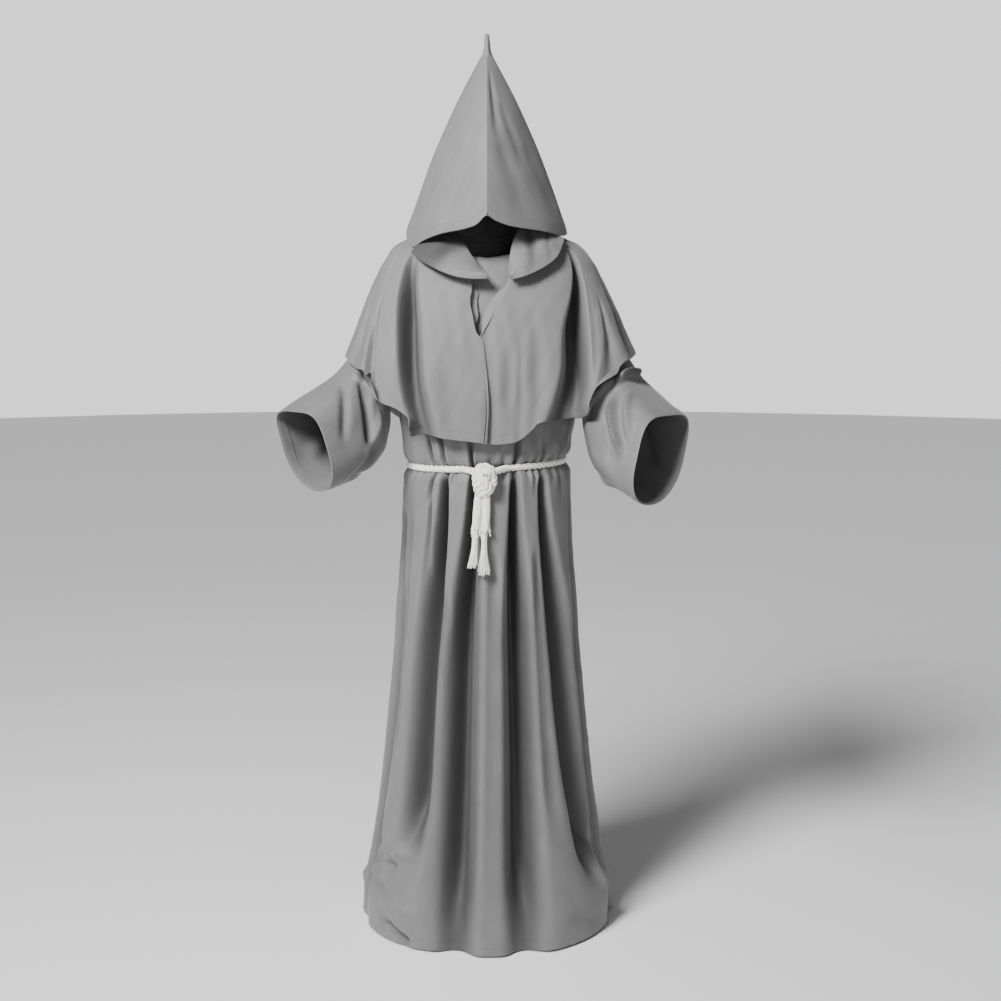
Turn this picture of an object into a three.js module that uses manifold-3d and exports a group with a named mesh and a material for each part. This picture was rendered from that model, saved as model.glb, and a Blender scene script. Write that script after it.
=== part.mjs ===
// Franciscan monk habit, as worn: a long robe with wide sleeves, a shoulder cape with a tall
// pointed hood, and a rope belt tied in front. Millimetres, +Z up, the front faces -Y and the
// wearer's left is +X. Heights in the tables are above the floor; the origin is the middle of
// the shoulder line, where the wearer carries the habit.
import * as THREE from 'three';
import { mergeVertices } from 'three/addons/utils/BufferGeometryUtils.js';
import Module from 'manifold-3d';

const SHOULDER_HEIGHT = 1500;
const CLOTH = 2;
const SEAM_GAP = 0.6;
const TOUCH = 0.4;
// Share of the way to the next grid point at which a wall's slope is taken.
const STEP = 0.4;

const ARMPIT_HEIGHT = 1262;
const ARMHOLE_BULGE = 62;
const ROBE_SEAM_TURN = 0.08;
const CAPE_SEAM_TURN = 0.1;
const HOOD_SEAM = 0.3;

const BELT_HEIGHT = 1052;
const BELT_TILT = 6;
const BELT_STEPS = 40;
const ROPE_DIAMETER = 15;
const ROPE_SIDES = 8;
const ROPE_CLEARANCE = 2.5;
const BELT_END_TURN = 16;

const HOOD_TOP = 1934;
const HOOD_CREASE = 0.35;
const CAPE_LEAN = 0.022;

const KNOT = { x: -5, y: -166, height: 1029 };
const KNOT_LEAD = 13;
const KNOT_WRAP = { radius: 12, turn: 0.35, drop: 8 };
const BELT_END = { x: 25, y: 11, height: 20 };
const TAIL_START = -34;
const TAIL_DIAMETER = 14;
const TAIL_LOW = 905;
const TASSEL_HEAD = { top: 6.4, low: 5.6, length: 10, sides: 12 };
const TASSEL_STRANDS = 10;
const TASSEL_FORWARD = -8;
const STRAND_WIDTH = 4.2;

// Robe: half width and depths of each section, from hem to armpit.
const ROBE_SECTIONS = [
  { height: 5, half: 288, front: 262, back: 250 },
  { height: 60, half: 287, front: 258, back: 247 },
  { height: 158, half: 268, front: 245, back: 236 },
  { height: 266, half: 251, front: 230, back: 224 },
  { height: 374, half: 237, front: 217, back: 212 },
  { height: 480, half: 226, front: 206, back: 202 },
  { height: 621, half: 212, front: 191, back: 190 },
  { height: 725, half: 204, front: 180, back: 181 },
  { height: 828, half: 196, front: 169, back: 172 },
  { height: 931, half: 189, front: 158, back: 163 },
  { height: 1000, half: 185, front: 150, back: 155 },
  { height: 1020, half: 183, front: 146, back: 151 },
  { height: 1036, half: 163, front: 129, back: 134 },
  { height: 1052, half: 162, front: 128, back: 133 },
  { height: 1068, half: 163, front: 129, back: 134 },
  { height: 1085, half: 183, front: 144, back: 149 },
  { height: 1112, half: 189, front: 148, back: 152 },
  { height: 1170, half: 197, front: 146, back: 150 },
  { height: 1262, half: 204, front: 134, back: 141 },
];

// Robe: heights of the grid rows, then shares of the way from the armpit to the top edge.
const ROBE_ROWS = [
  5, 60, 158, 270, 390, 510, 630, 740, 850, 940, 990, 1020, 1036, 1068, 1085, 1115, 1185, 1262,
];
const YOKE_ROWS = [0.25, 0.5, 0.75, 1];
const ROBE_COLUMNS = 30;

// Robe: top edge from the middle of the neckline out to the shoulder point.
const FRONT_TOP = [
  { across: 0, x: 0, y: -72, height: 1500 },
  { across: 0.25, x: 46, y: -62, height: 1508 },
  { across: 0.4, x: 79, y: -30, height: 1536 },
  { across: 0.5, x: 92, y: -0.5, height: 1555 },
  { across: 0.75, x: 146, y: -0.5, height: 1526 },
  { across: 1, x: 204, y: -0.5, height: 1473 },
];
const BACK_TOP = [
  { across: 0, x: 0, y: 72, height: 1542 },
  { across: 0.25, x: 48, y: 62, height: 1545 },
  { across: 0.4, x: 79, y: 30, height: 1552 },
  { across: 0.5, x: 92, y: 0.5, height: 1555 },
  { across: 0.75, x: 146, y: 0.5, height: 1526 },
  { across: 1, x: 204, y: 0.5, height: 1473 },
];

// Skirt folds: turn in degrees from the front towards the wearer's left, at the top of the fold
// and at its low end; depth and half spread of the trough; the heights between which it runs.
const SKIRT_FOLDS = [
  { top: 1030, low: 120, turn: -40, lowTurn: -43, depth: 14, spread: 8 },
  { top: 1035, low: -300, turn: -11, lowTurn: -18, depth: 21, spread: 7.5 },
  { top: 1035, low: -300, turn: 20, lowTurn: 15, depth: 16, spread: 6.5 },
  { top: 1030, low: 200, turn: 40, lowTurn: 68, depth: 15, spread: 9 },
  { top: 960, low: -300, turn: -74, lowTurn: -78, depth: 10, spread: 8 },
  { top: 1030, low: -300, turn: -104, lowTurn: -101, depth: 13, spread: 8 },
  { top: 1030, low: 60, turn: -130, lowTurn: -134, depth: 16, spread: 8 },
  { top: 1030, low: -300, turn: -157, lowTurn: -154, depth: 19, spread: 8 },
  { top: 1030, low: -300, turn: 178, lowTurn: 175, depth: 15, spread: 7 },
  { top: 1030, low: -300, turn: 152, lowTurn: 155, depth: 18, spread: 8 },
  { top: 1030, low: 90, turn: 125, lowTurn: 121, depth: 13, spread: 8 },
  { top: 990, low: -300, turn: 98, lowTurn: 102, depth: 11, spread: 8 },
];
const SKIRT_FADE = 260;

// Sleeves: top and bottom points of each ring from armhole to cuff, and half its spread sideways.
const SLEEVE_LEFT_RINGS = [
  { along: 0, topX: 206, topY: 0, top: 1470, lowX: 206, lowY: 0, low: 1264, sideX: 0, sideY: 61 },
  { along: 0.16, topX: 243, topY: -4, top: 1438, lowX: 213, lowY: -6, low: 1192, sideX: 8, sideY: 70 },
  { along: 0.32, topX: 270, topY: -12, top: 1372, lowX: 217, lowY: -18, low: 1132, sideX: 16, sideY: 75 },
  { along: 0.48, topX: 294, topY: -30, top: 1300, lowX: 227, lowY: -42, low: 1084, sideX: 26, sideY: 76 },
  { along: 0.64, topX: 320, topY: -68, top: 1246, lowX: 249, lowY: -84, low: 1046, sideX: 38, sideY: 74 },
  { along: 0.82, topX: 348, topY: -120, top: 1208, lowX: 291, lowY: -140, low: 1012, sideX: 50, sideY: 68 },
  { along: 1, topX: 384, topY: -180, top: 1170, lowX: 346, lowY: -200, low: 985, sideX: 56, sideY: 56 },
];
const SLEEVE_RIGHT_RINGS = [
  { along: 0, topX: 206, topY: 0, top: 1470, lowX: 206, lowY: 0, low: 1264, sideX: 0, sideY: 61 },
  { along: 0.16, topX: 240, topY: -4, top: 1436, lowX: 213, lowY: -6, low: 1192, sideX: 8, sideY: 70 },
  { along: 0.32, topX: 264, topY: -12, top: 1368, lowX: 217, lowY: -18, low: 1134, sideX: 16, sideY: 75 },
  { along: 0.48, topX: 288, topY: -30, top: 1298, lowX: 228, lowY: -42, low: 1090, sideX: 26, sideY: 76 },
  { along: 0.64, topX: 322, topY: -68, top: 1246, lowX: 255, lowY: -84, low: 1054, sideX: 38, sideY: 74 },
  { along: 0.82, topX: 362, topY: -120, top: 1214, lowX: 306, lowY: -140, low: 1024, sideX: 50, sideY: 68 },
  { along: 1, topX: 406, topY: -180, top: 1180, lowX: 366, lowY: -200, low: 1012, sideX: 55, sideY: 55 },
];
const SLEEVE_FOLDS = [
  { along: 0.42, around: 300, depth: 9, length: 0.05, spread: 50 },
  { along: 0.55, around: 325, depth: 8, length: 0.05, spread: 40 },
  { along: 0.7, around: 230, depth: 8, length: 0.07, spread: 45 },
  { along: 0.5, around: 120, depth: 7, length: 0.06, spread: 50 },
];
const SLEEVE_ROUND = 18;
const SLEEVE_STEPS = 11;

// Cape: rings from the neck seam (0) to the hem (1), with their heights at front, side and back.
const CAPE_RINGS = [
  { ring: 0, half: 98, front: 98, back: 82, frontZ: 1486, sideZ: 1554.5, backZ: 1546 },
  { ring: 0.12, half: 142, front: 119, back: 104, frontZ: 1461, sideZ: 1552, backZ: 1537 },
  { ring: 0.24, half: 178, front: 133, back: 122, frontZ: 1429, sideZ: 1540, backZ: 1519 },
  { ring: 0.36, half: 205, front: 146, back: 136, frontZ: 1388, sideZ: 1525, backZ: 1490 },
  { ring: 0.48, half: 229, front: 156, back: 146, frontZ: 1342, sideZ: 1494, backZ: 1444 },
  { ring: 0.6, half: 251, front: 164, back: 154, frontZ: 1294, sideZ: 1452, backZ: 1384 },
  { ring: 0.74, half: 276, front: 171, back: 160, frontZ: 1236, sideZ: 1398, backZ: 1296 },
  { ring: 0.88, half: 300, front: 176, back: 165, frontZ: 1172, sideZ: 1338, backZ: 1190 },
  { ring: 1, half: 320, front: 180, back: 168, frontZ: 1112, sideZ: 1292, backZ: 1088 },
];
const CAPE_SQUARENESS = 3;

// Cape: height of the hem by turn from the front towards the wearer's left.
const CAPE_HEM = [
  { turn: -180, height: 1088 },
  { turn: -155, height: 1110 },
  { turn: -135, height: 1172 },
  { turn: -112, height: 1252 },
  { turn: -90, height: 1289 },
  { turn: -66, height: 1283 },
  { turn: -52, height: 1268 },
  { turn: -46, height: 1258 },
  { turn: -41, height: 1196 },
  { turn: -34, height: 1182 },
  { turn: -27.5, height: 1160 },
  { turn: -23.5, height: 1134 },
  { turn: -17, height: 1121 },
  { turn: -6, height: 1115 },
  { turn: 3, height: 1109 },
  { turn: 10, height: 1113 },
  { turn: 14, height: 1126 },
  { turn: 18.5, height: 1153 },
  { turn: 27, height: 1165 },
  { turn: 35, height: 1190 },
  { turn: 40, height: 1234 },
  { turn: 51, height: 1275 },
  { turn: 66, height: 1290 },
  { turn: 90, height: 1297 },
  { turn: 112, height: 1258 },
  { turn: 135, height: 1180 },
  { turn: 155, height: 1118 },
  { turn: 180, height: 1088 },
];

// Cape folds: where each starts as a ring, its turn at the hem, depth and half spread there.
const CAPE_FOLDS = [
  { start: 0.2, turn: -25.5, depth: 44, spread: 3.4 },
  { start: 0.3, turn: 31.5, depth: 44, spread: 3.4 },
  { start: 0.55, turn: -50, depth: 26, spread: 5 },
  { start: 0.62, turn: -1.5, depth: 9, spread: 2.5 },
  { start: 0.4, turn: -122, depth: 15, spread: 7 },
  { start: 0.34, turn: -152, depth: 18, spread: 7 },
  { start: 0.38, turn: 176, depth: 16, spread: 7 },
  { start: 0.34, turn: 146, depth: 18, spread: 7 },
  { start: 0.42, turn: 119, depth: 14, spread: 7 },
];
const CAPE_FADE = 0.4;

// Cape grain: the threads that leave the hem at one turn reach the neck seam at another.
const CAPE_GRAIN = [
  { hem: 0, neck: 0 },
  { hem: 12, neck: 26 },
  { hem: 25.5, neck: 74 },
  { hem: 32, neck: 82 },
  { hem: 50, neck: 86 },
  { hem: 90, neck: 90 },
];
const CAPE_FRONT_TURNS = [4, 8, 12, 16, 19, 22, 25.5, 28.5, 31.5, 34.5, 38, 42, 48, 56, 66, 78];
const CAPE_BACK_COLUMNS = 24;
const CAPE_ROWS = 10;

// Front edge of the two cape fronts by height: open slit above, closed seam below.
const FRONT_EDGE = [
  { height: 1112, right: -8, left: -8 },
  { height: 1187, right: -3, left: -3 },
  { height: 1315, right: -13, left: -13 },
  { height: 1328, right: -17, left: -16 },
  { height: 1345, right: -31, left: -8 },
  { height: 1377, right: -38, left: 10 },
  { height: 1400, right: -43, left: 18 },
  { height: 1432, right: -40, left: 40 },
  { height: 1482, right: -38, left: 44 },
];
const SLIT_LOW = 1330;
const FACING = { behind: 4, slope: 3, fade: 60, thick: 1.2, rows: 8, low: 0.5, high: 0.15 };

// Hood: half width and depths by height, and its lower edge by turn.
const HOOD_SECTIONS = [
  { height: 1515, half: 181, front: 170, back: 132 },
  { height: 1562, half: 174, front: 173, back: 144 },
  { height: 1595, half: 163, front: 171, back: 152 },
  { height: 1659, half: 140, front: 163, back: 157 },
  { height: 1724, half: 114, front: 145, back: 147 },
  { height: 1788, half: 87, front: 117, back: 124 },
  { height: 1852, half: 55, front: 79, back: 90 },
  { height: 1912, half: 23, front: 33, back: 41 },
  { height: 1934, half: 10, front: 11, back: 13 },
];
const HOOD_EDGE = [
  { turn: -180, height: 1536 },
  { turn: -130, height: 1550 },
  { turn: -90, height: 1554 },
  { turn: -74, height: 1538 },
  { turn: -64, height: 1523 },
  { turn: -49, height: 1538 },
  { turn: -33, height: 1551 },
  { turn: -17, height: 1559 },
  { turn: -8, height: 1567 },
  { turn: 0, height: 1587 },
  { turn: 6, height: 1577 },
  { turn: 17, height: 1566 },
  { turn: 42, height: 1557 },
  { turn: 70, height: 1549 },
  { turn: 90, height: 1554 },
  { turn: 130, height: 1550 },
  { turn: 180, height: 1536 },
];
const HOOD_TAIL = [
  { radius: 0, rise: 0.4 },
  { radius: 10, rise: 0.4 },
  { radius: 8, rise: 8 },
  { radius: 6.5, rise: 24 },
  { radius: 5, rise: 41 },
  { radius: 0, rise: 44 },
];
const HOOD_TAIL_SIDES = 10;
const HOOD_TAIL_DEPTH = 1.15;
const HOOD_COLUMNS = 12;
const HOOD_ROWS = [0, 0.06, 0.15, 0.26, 0.38, 0.5, 0.62, 0.74, 0.85, 0.94, 1];

// Turned-out collar: its roll over the neck and its lying edge, from the slit to the shoulder.
const COLLAR_RIGHT_LINES = [
  { along: 0, rollX: -4, rollY: -137, roll: 1462, edgeX: -2, edgeY: -147, edge: 1456 },
  { along: 0.25, rollX: -38, rollY: -104, roll: 1508, edgeX: -56, edgeY: -149, edge: 1458 },
  { along: 0.5, rollX: -53, rollY: -82, roll: 1540, edgeX: -94, edgeY: -139, edge: 1473 },
  { along: 0.75, rollX: -77, rollY: -50, roll: 1562, edgeX: -125, edgeY: -112, edge: 1490 },
  { along: 1, rollX: -98, rollY: -16, roll: 1574, edgeX: -146, edgeY: -70, edge: 1520 },
];
const COLLAR_LEFT_LINES = [
  { along: 0, rollX: 44, rollY: -130, roll: 1464, edgeX: 48, edgeY: -145, edge: 1455 },
  { along: 0.25, rollX: 48, rollY: -104, roll: 1507, edgeX: 71, edgeY: -146, edge: 1463 },
  { along: 0.5, rollX: 59, rollY: -82, roll: 1545, edgeX: 107, edgeY: -133, edge: 1478 },
  { along: 0.75, rollX: 79, rollY: -50, roll: 1564, edgeX: 142, edgeY: -105, edge: 1502 },
  { along: 1, rollX: 98, rollY: -16, roll: 1576, edgeX: 160, edgeY: -62, edge: 1538 },
];
const COLLAR_BELLY = { rise: 5.4, out: 7.2 };
const COLLAR_COLUMNS = 12;
const COLLAR_ROWS = [-1, -0.6, -0.25, 0, 0.25, 0.6, 1];
const COLLAR_END_TURN = 80;
const COLLAR_FOOT_RING = 0.15;
const COLLAR_INSET = 0.03;
const COLLAR_CORNER = 0.25;

// Knot: the way of the rope's two ends through it, from its middle.
const KNOT_FIRST = [
  { x: -6, y: -9, height: 22 },
  { x: 10, y: -8, height: 14 },
  { x: 18, y: 1, height: 0 },
  { x: 8, y: 9, height: -13 },
  { x: -8, y: 3, height: -23 },
  { x: -13, y: 0, height: -29 },
  { x: -13, y: 0, height: TAIL_START },
];
const KNOT_SECOND = [
  { x: 0, y: 6, height: 24 },
  { x: -14, y: 6, height: 12 },
  { x: -18, y: -2, height: -2 },
  { x: -8, y: -9, height: -12 },
  { x: 1, y: -4, height: -22 },
  { x: 3, y: 0, height: -29 },
  { x: 3, y: 0, height: TAIL_START },
];

const CLOTH_LOOK = { color: 0x8b8b8b, roughness: 0.62, metalness: 0, side: THREE.FrontSide };
const ROPE_LOOK = { color: 0xf0eeea, roughness: 0.85, metalness: 0 };

const wasm = await Module();
wasm.setup();

const habit = new THREE.Group();
habit.position.z = -SHOULDER_HEIGHT;

function mix(low, high, share) {
  return low + (high - low) * share;
}

function ease(share) {
  const clear = Math.min(1, Math.max(0, share));
  return clear * clear * (3 - 2 * clear);
}

function hump(offset, spread) {
  return Math.exp(-((offset / spread) ** 2));
}

function radians(degrees) {
  return degrees * Math.PI / 180;
}

// Shortest way round from one turn to another, in degrees.
function turnBetween(from, to) {
  return ((to - from + 540) % 360) - 180;
}

// Smooth value of one column of a table at a value of its key column, without overshoot.
function read(rows, key, name, at) {
  const last = rows.length - 1;
  if (at <= rows[0][key]) {
    return rows[0][name];
  }
  if (at >= rows[last][key]) {
    return rows[last][name];
  }
  let low = 0;
  while (at > rows[low + 1][key]) {
    low += 1;
  }
  const rise = (i) => (rows[i + 1][name] - rows[i][name]) / (rows[i + 1][key] - rows[i][key]);
  const slope = (i) => {
    if (i === 0) {
      return rise(0);
    }
    if (i === last) {
      return rise(last - 1);
    }
    const before = rise(i - 1);
    const after = rise(i);
    return before * after <= 0 ? 0 : 2 * before * after / (before + after);
  };
  const span = rows[low + 1][key] - rows[low][key];
  const t = (at - rows[low][key]) / span;
  const start = (1 + 2 * t) * (1 - t) * (1 - t);
  const leave = t * (1 - t) * (1 - t) * span;
  const end = t * t * (3 - 2 * t);
  const arrive = t * t * (t - 1) * span;
  return start * rows[low][name] + leave * slope(low)
    + end * rows[low + 1][name] + arrive * slope(low + 1);
}

// Depth of all the skirt's folds at one place.
function skirtFold(turn, height) {
  let depth = 0;
  for (const fold of SKIRT_FOLDS) {
    const down = (fold.top - height) / (fold.top - Math.max(fold.low, 0));
    const centre = mix(fold.turn, fold.lowTurn, Math.min(1, Math.max(0, down)));
    const strength = ease((fold.top - height) / SKIRT_FADE) * ease((height - fold.low) / SKIRT_FADE);
    depth += fold.depth * strength * hump(turnBetween(centre, turn), fold.spread);
  }
  return depth;
}

// Place on an oval section, moved in along its normal by the fold depth.
function ovalPlace(turn, half, depth, fold, height) {
  const angle = radians(turn);
  const normal = new THREE.Vector2(Math.sin(angle) / half, -Math.cos(angle) / depth).normalize();
  return new THREE.Vector3(
    half * Math.sin(angle) - normal.x * fold,
    -depth * Math.cos(angle) - normal.y * fold,
    height,
  );
}

function robePlace(turn, height) {
  const half = read(ROBE_SECTIONS, 'height', 'half', height);
  const front = read(ROBE_SECTIONS, 'height', 'front', height);
  const back = read(ROBE_SECTIONS, 'height', 'back', height);
  const depth = Math.cos(radians(turn)) > 0 ? front : back;
  return ovalPlace(turn, half, depth, skirtFold(turn, height), height);
}

// The yoke rises from the armpit section to the neckline and shoulder seam, rounded on top.
function yokePlace(turn, share, isFront) {
  const rows = isFront ? FRONT_TOP : BACK_TOP;
  const fromMiddle = isFront ? turn : turnBetween(180, turn) * -1;
  const across = Math.min(1, Math.abs(fromMiddle) / 90);
  const side = Math.sign(fromMiddle);
  const start = robePlace(turn, ARMPIT_HEIGHT);
  const over = radians(90 * share);
  const topY = read(rows, 'across', 'y', across);
  const top = read(rows, 'across', 'height', across);
  const bulge = ARMHOLE_BULGE * Math.sin(2 * over) * across ** 4 * (isFront ? -1 : 1);
  return new THREE.Vector3(
    mix(start.x, side * read(rows, 'across', 'x', across), share),
    mix(topY, start.y, Math.cos(over)) + bulge,
    mix(start.z, top, Math.sin(over)),
  );
}

// Place on the robe: rows up to 1 run from hem to armpit, rows past 1 over the yoke.
function robeSurface(turn, row, isFront) {
  if (row <= ROBE_ROWS.length - 1) {
    const low = Math.min(Math.floor(row), ROBE_ROWS.length - 2);
    return robePlace(turn, mix(ROBE_ROWS[low], ROBE_ROWS[low + 1], row - low));
  }
  const past = row - (ROBE_ROWS.length - 1);
  const shares = [0, ...YOKE_ROWS];
  const low = Math.min(Math.floor(past), YOKE_ROWS.length - 1);
  const share = mix(shares[low], shares[low + 1], Math.min(past, YOKE_ROWS.length) - low);
  return yokePlace(turn, share, isFront);
}

// Closed wall of even thickness under a surface, with its columns and rows given. A wall that is
// closed round has no side edges. Columns listed as middle keep their thickness in the middle plane.
function wallGeometry({ surface, columns, rows, isRound = false, middle = [], thick = CLOTH }) {
  const points = [];
  const width = columns.length;
  const height = rows.length;
  const outer = [];
  const inner = [];
  for (let j = 0; j < height; j += 1) {
    for (let i = 0; i < width; i += 1) {
      const u = columns[i];
      const v = rows[j];
      const place = surface(u, v);
      const before = isRound || i > 0 ? surface(u - STEP * gap(columns, i, -1), v) : place;
      const after = isRound || i < width - 1 ? surface(u + STEP * gap(columns, i, 1), v) : place;
      const below = j > 0 ? surface(u, v - STEP * (v - rows[j - 1])) : place;
      const above = j < height - 1 ? surface(u, v + STEP * (rows[j + 1] - v)) : place;
      const along = after.clone().sub(before);
      const up = above.clone().sub(below);
      const normal = along.cross(up);
      if (middle.includes(i)) {
        normal.x = 0;
      }
      normal.normalize();
      outer.push(place);
      inner.push(place.clone().addScaledVector(normal, -thick));
    }
  }
  for (const place of [...outer, ...inner]) {
    points.push(place.x, place.y, place.z);
  }
  const faces = [];
  const count = width * height;
  const at = (i, j, layer) => layer * count + j * width + (i % width);
  const quad = (a, b, c, d) => faces.push(a, b, c, a, c, d);
  const side = width - 1;
  const top = height - 1;
  const around = isRound ? width : side;
  for (let j = 0; j < top; j += 1) {
    for (let i = 0; i < around; i += 1) {
      quad(at(i, j, 0), at(i + 1, j, 0), at(i + 1, j + 1, 0), at(i, j + 1, 0));
      quad(at(i, j, 1), at(i, j + 1, 1), at(i + 1, j + 1, 1), at(i + 1, j, 1));
    }
  }
  for (let i = 0; i < around; i += 1) {
    quad(at(i, 0, 1), at(i + 1, 0, 1), at(i + 1, 0, 0), at(i, 0, 0));
    quad(at(i, top, 0), at(i + 1, top, 0), at(i + 1, top, 1), at(i, top, 1));
  }
  if (!isRound) {
    for (let j = 0; j < top; j += 1) {
      quad(at(0, j, 1), at(0, j, 0), at(0, j + 1, 0), at(0, j + 1, 1));
      quad(at(side, j, 0), at(side, j, 1), at(side, j + 1, 1), at(side, j + 1, 0));
    }
  }
  const geometry = new THREE.BufferGeometry();
  geometry.setAttribute('position', new THREE.Float32BufferAttribute(points, 3));
  geometry.setIndex(faces);
  geometry.computeVertexNormals();
  return geometry;
}

// Distance from one column to the next on either side, the first neighbour again at an end.
function gap(columns, i, way) {
  const other = columns[i + way];
  if (other !== undefined) {
    return Math.abs(other - columns[i]);
  }
  return Math.abs(columns[1] - columns[0]);
}

function evenSteps(from, to, count) {
  return Array.from({ length: count + 1 }, (_, i) => mix(from, to, i / count));
}

function addPiece(name, geometry, look) {
  const mesh = new THREE.Mesh(geometry, new THREE.MeshStandardMaterial(look));
  mesh.name = name;
  habit.add(mesh);
  return mesh;
}

function addRobe() {
  const last = ROBE_ROWS.length - 1 + YOKE_ROWS.length;
  const rows = evenSteps(0, last, last);
  const front = wallGeometry({
    surface: (turn, row) => robeSurface(turn, row, true),
    columns: evenSteps(-90 + ROBE_SEAM_TURN, 90 - ROBE_SEAM_TURN, ROBE_COLUMNS),
    rows,
  });
  const back = wallGeometry({
    surface: (turn, row) => robeSurface(turn, row, false),
    columns: evenSteps(90 + ROBE_SEAM_TURN, 270 - ROBE_SEAM_TURN, ROBE_COLUMNS),
    rows,
  });
  addPiece('robe_front', front, CLOTH_LOOK);
  addPiece('robe_back', back, CLOTH_LOOK);
}

// Place on a sleeve: around is 0 on top, 90 on the outer side, 180 below and 270 on the inner side.
function sleevePlace(rings, around, along, side) {
  const angle = radians(around);
  const at = (name) => read(rings, 'along', name, along);
  const top = new THREE.Vector3(at('topX'), at('topY'), at('top'));
  const low = new THREE.Vector3(at('lowX'), at('lowY'), at('low'));
  const across = new THREE.Vector3(at('sideX'), at('sideY'), 0);
  const middle = top.clone().add(low).multiplyScalar(0.5);
  const upright = top.clone().sub(low).multiplyScalar(0.5);
  let fold = 0;
  for (const row of SLEEVE_FOLDS) {
    const near = hump(along - row.along, row.length) * hump(turnBetween(row.around, around), row.spread);
    fold += row.depth * near;
  }
  const spoke = upright.multiplyScalar(Math.cos(angle)).addScaledVector(across, Math.sin(angle));
  const place = middle.addScaledVector(spoke, 1 - fold / spoke.length());
  place.x *= side;
  return place;
}

function addSleeve(name, rings, side) {
  const geometry = wallGeometry({
    surface: (around, along) => sleevePlace(rings, side * around, along, side),
    columns: evenSteps(0, 360, SLEEVE_ROUND).slice(0, -1),
    rows: evenSteps(0, 1, SLEEVE_STEPS),
    isRound: true,
  });
  addPiece(name, geometry, CLOTH_LOOK);
}

// Turn of a thread of the cape on a ring, from its turn at the hem.
function grainTurn(hemTurn, ring) {
  const short = turnBetween(0, hemTurn);
  if (Math.abs(short) >= 90) {
    return hemTurn;
  }
  return mix(Math.sign(short) * read(CAPE_GRAIN, 'hem', 'neck', Math.abs(short)), short, ring);
}

// Place on the plain cape: a squared oval ring, its height running from front over side to back.
function capeRing(turn, ring) {
  const angle = radians(turn);
  const at = (name) => read(CAPE_RINGS, 'ring', name, ring);
  const sine = Math.sin(angle);
  const cosine = Math.cos(angle);
  const power = mix(2, CAPE_SQUARENESS, ease(ring));
  const reach = (Math.abs(sine) ** power + Math.abs(cosine) ** power) ** (-1 / power);
  const half = at('half') * (1 + CAPE_LEAN * ease(ring) * sine);
  const depth = cosine > 0 ? at('front') : at('back');
  const height = mix(cosine > 0 ? at('frontZ') : at('backZ'), at('sideZ'), sine * sine);
  return new THREE.Vector3(half * sine * reach, -depth * cosine * reach, height);
}

// Place on the worn cape: the plain ring with its folds pushed in and its hem drawn up or down.
function capePlace(hemTurn, ring) {
  const turn = grainTurn(hemTurn, ring);
  const angle = radians(turn);
  const place = capeRing(turn, ring);
  const depth = read(CAPE_RINGS, 'ring', Math.cos(angle) > 0 ? 'front' : 'back', ring);
  const half = read(CAPE_RINGS, 'ring', 'half', ring);
  const inward = new THREE.Vector3(-Math.sin(angle) / half, Math.cos(angle) / depth, 0).normalize();
  let fold = 0;
  for (const row of CAPE_FOLDS) {
    const begun = ease((ring - row.start) / CAPE_FADE);
    fold += row.depth * begun * hump(turnBetween(row.turn, hemTurn), row.spread);
  }
  place.addScaledVector(inward, fold);
  const hem = read(CAPE_HEM, 'turn', 'height', turnBetween(0, hemTurn)) - capeRing(turn, 1).z;
  place.z += hem * ring ** 3;
  return place;
}

// Turn of a cape front's edge on a ring, the slit above and the seam below.
function edgeTurn(ring, name) {
  const height = read(CAPE_RINGS, 'ring', 'frontZ', ring);
  const half = read(CAPE_RINGS, 'ring', 'half', ring);
  return Math.asin(read(FRONT_EDGE, 'height', name, height) / half) * 180 / Math.PI;
}

// The same edge as the hem turn of the thread that passes there, by the grain near the middle.
function edgeThread(ring, name) {
  const spread = CAPE_GRAIN[1].neck / CAPE_GRAIN[1].hem;
  return edgeTurn(ring, name) / mix(spread, 1, ring);
}

function addCapeFront(name, side) {
  const edgeName = side > 0 ? 'left' : 'right';
  const last = 90 - CAPE_SEAM_TURN;
  const turns = [0, ...CAPE_FRONT_TURNS, last];
  // Columns are squeezed towards the side so that the first one lies on the slit or the seam.
  const turnAt = (column, ring) => {
    const edge = side * edgeThread(ring, edgeName) + SEAM_GAP / 2;
    return side * mix(edge, last, column / last);
  };
  const surface = (column, ring) => capePlace(turnAt(column, ring), ring);
  const columns = side > 0 ? turns : turns.map((turn) => -turn).reverse();
  const geometry = wallGeometry({
    surface: (column, ring) => surface(Math.abs(column), ring),
    columns,
    rows: evenSteps(0, 1, CAPE_ROWS),
  });
  addPiece(name, geometry, CLOTH_LOOK);
}

function addCapeBack() {
  const geometry = wallGeometry({
    surface: capePlace,
    columns: evenSteps(90 + CAPE_SEAM_TURN, 270 - CAPE_SEAM_TURN, CAPE_BACK_COLUMNS),
    rows: evenSteps(0, 1, CAPE_ROWS),
  });
  addPiece('cape_back', geometry, CLOTH_LOOK);
}

// Facing strip inside the slit: the cape's own edge moved in, running towards the middle.
function addFacing(name, side, width) {
  const edgeName = side > 0 ? 'left' : 'right';
  const surface = (across, ring) => {
    const place = capePlace(edgeThread(ring, edgeName), ring);
    const opened = ease((place.z - SLIT_LOW) / FACING.fade);
    place.x = read(FRONT_EDGE, 'height', edgeName, place.z) - side * across * width * opened;
    place.y += FACING.behind + across * FACING.slope;
    return place;
  };
  const columns = side > 0 ? [-1, -0.5, 0.3] : [-0.3, 0.5, 1];
  const geometry = wallGeometry({
    surface: (across, ring) => surface(-side * across, ring),
    columns,
    rows: evenSteps(FACING.high, FACING.low, FACING.rows),
    thick: FACING.thick,
  });
  addPiece(name, geometry, CLOTH_LOOK);
}

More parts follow.
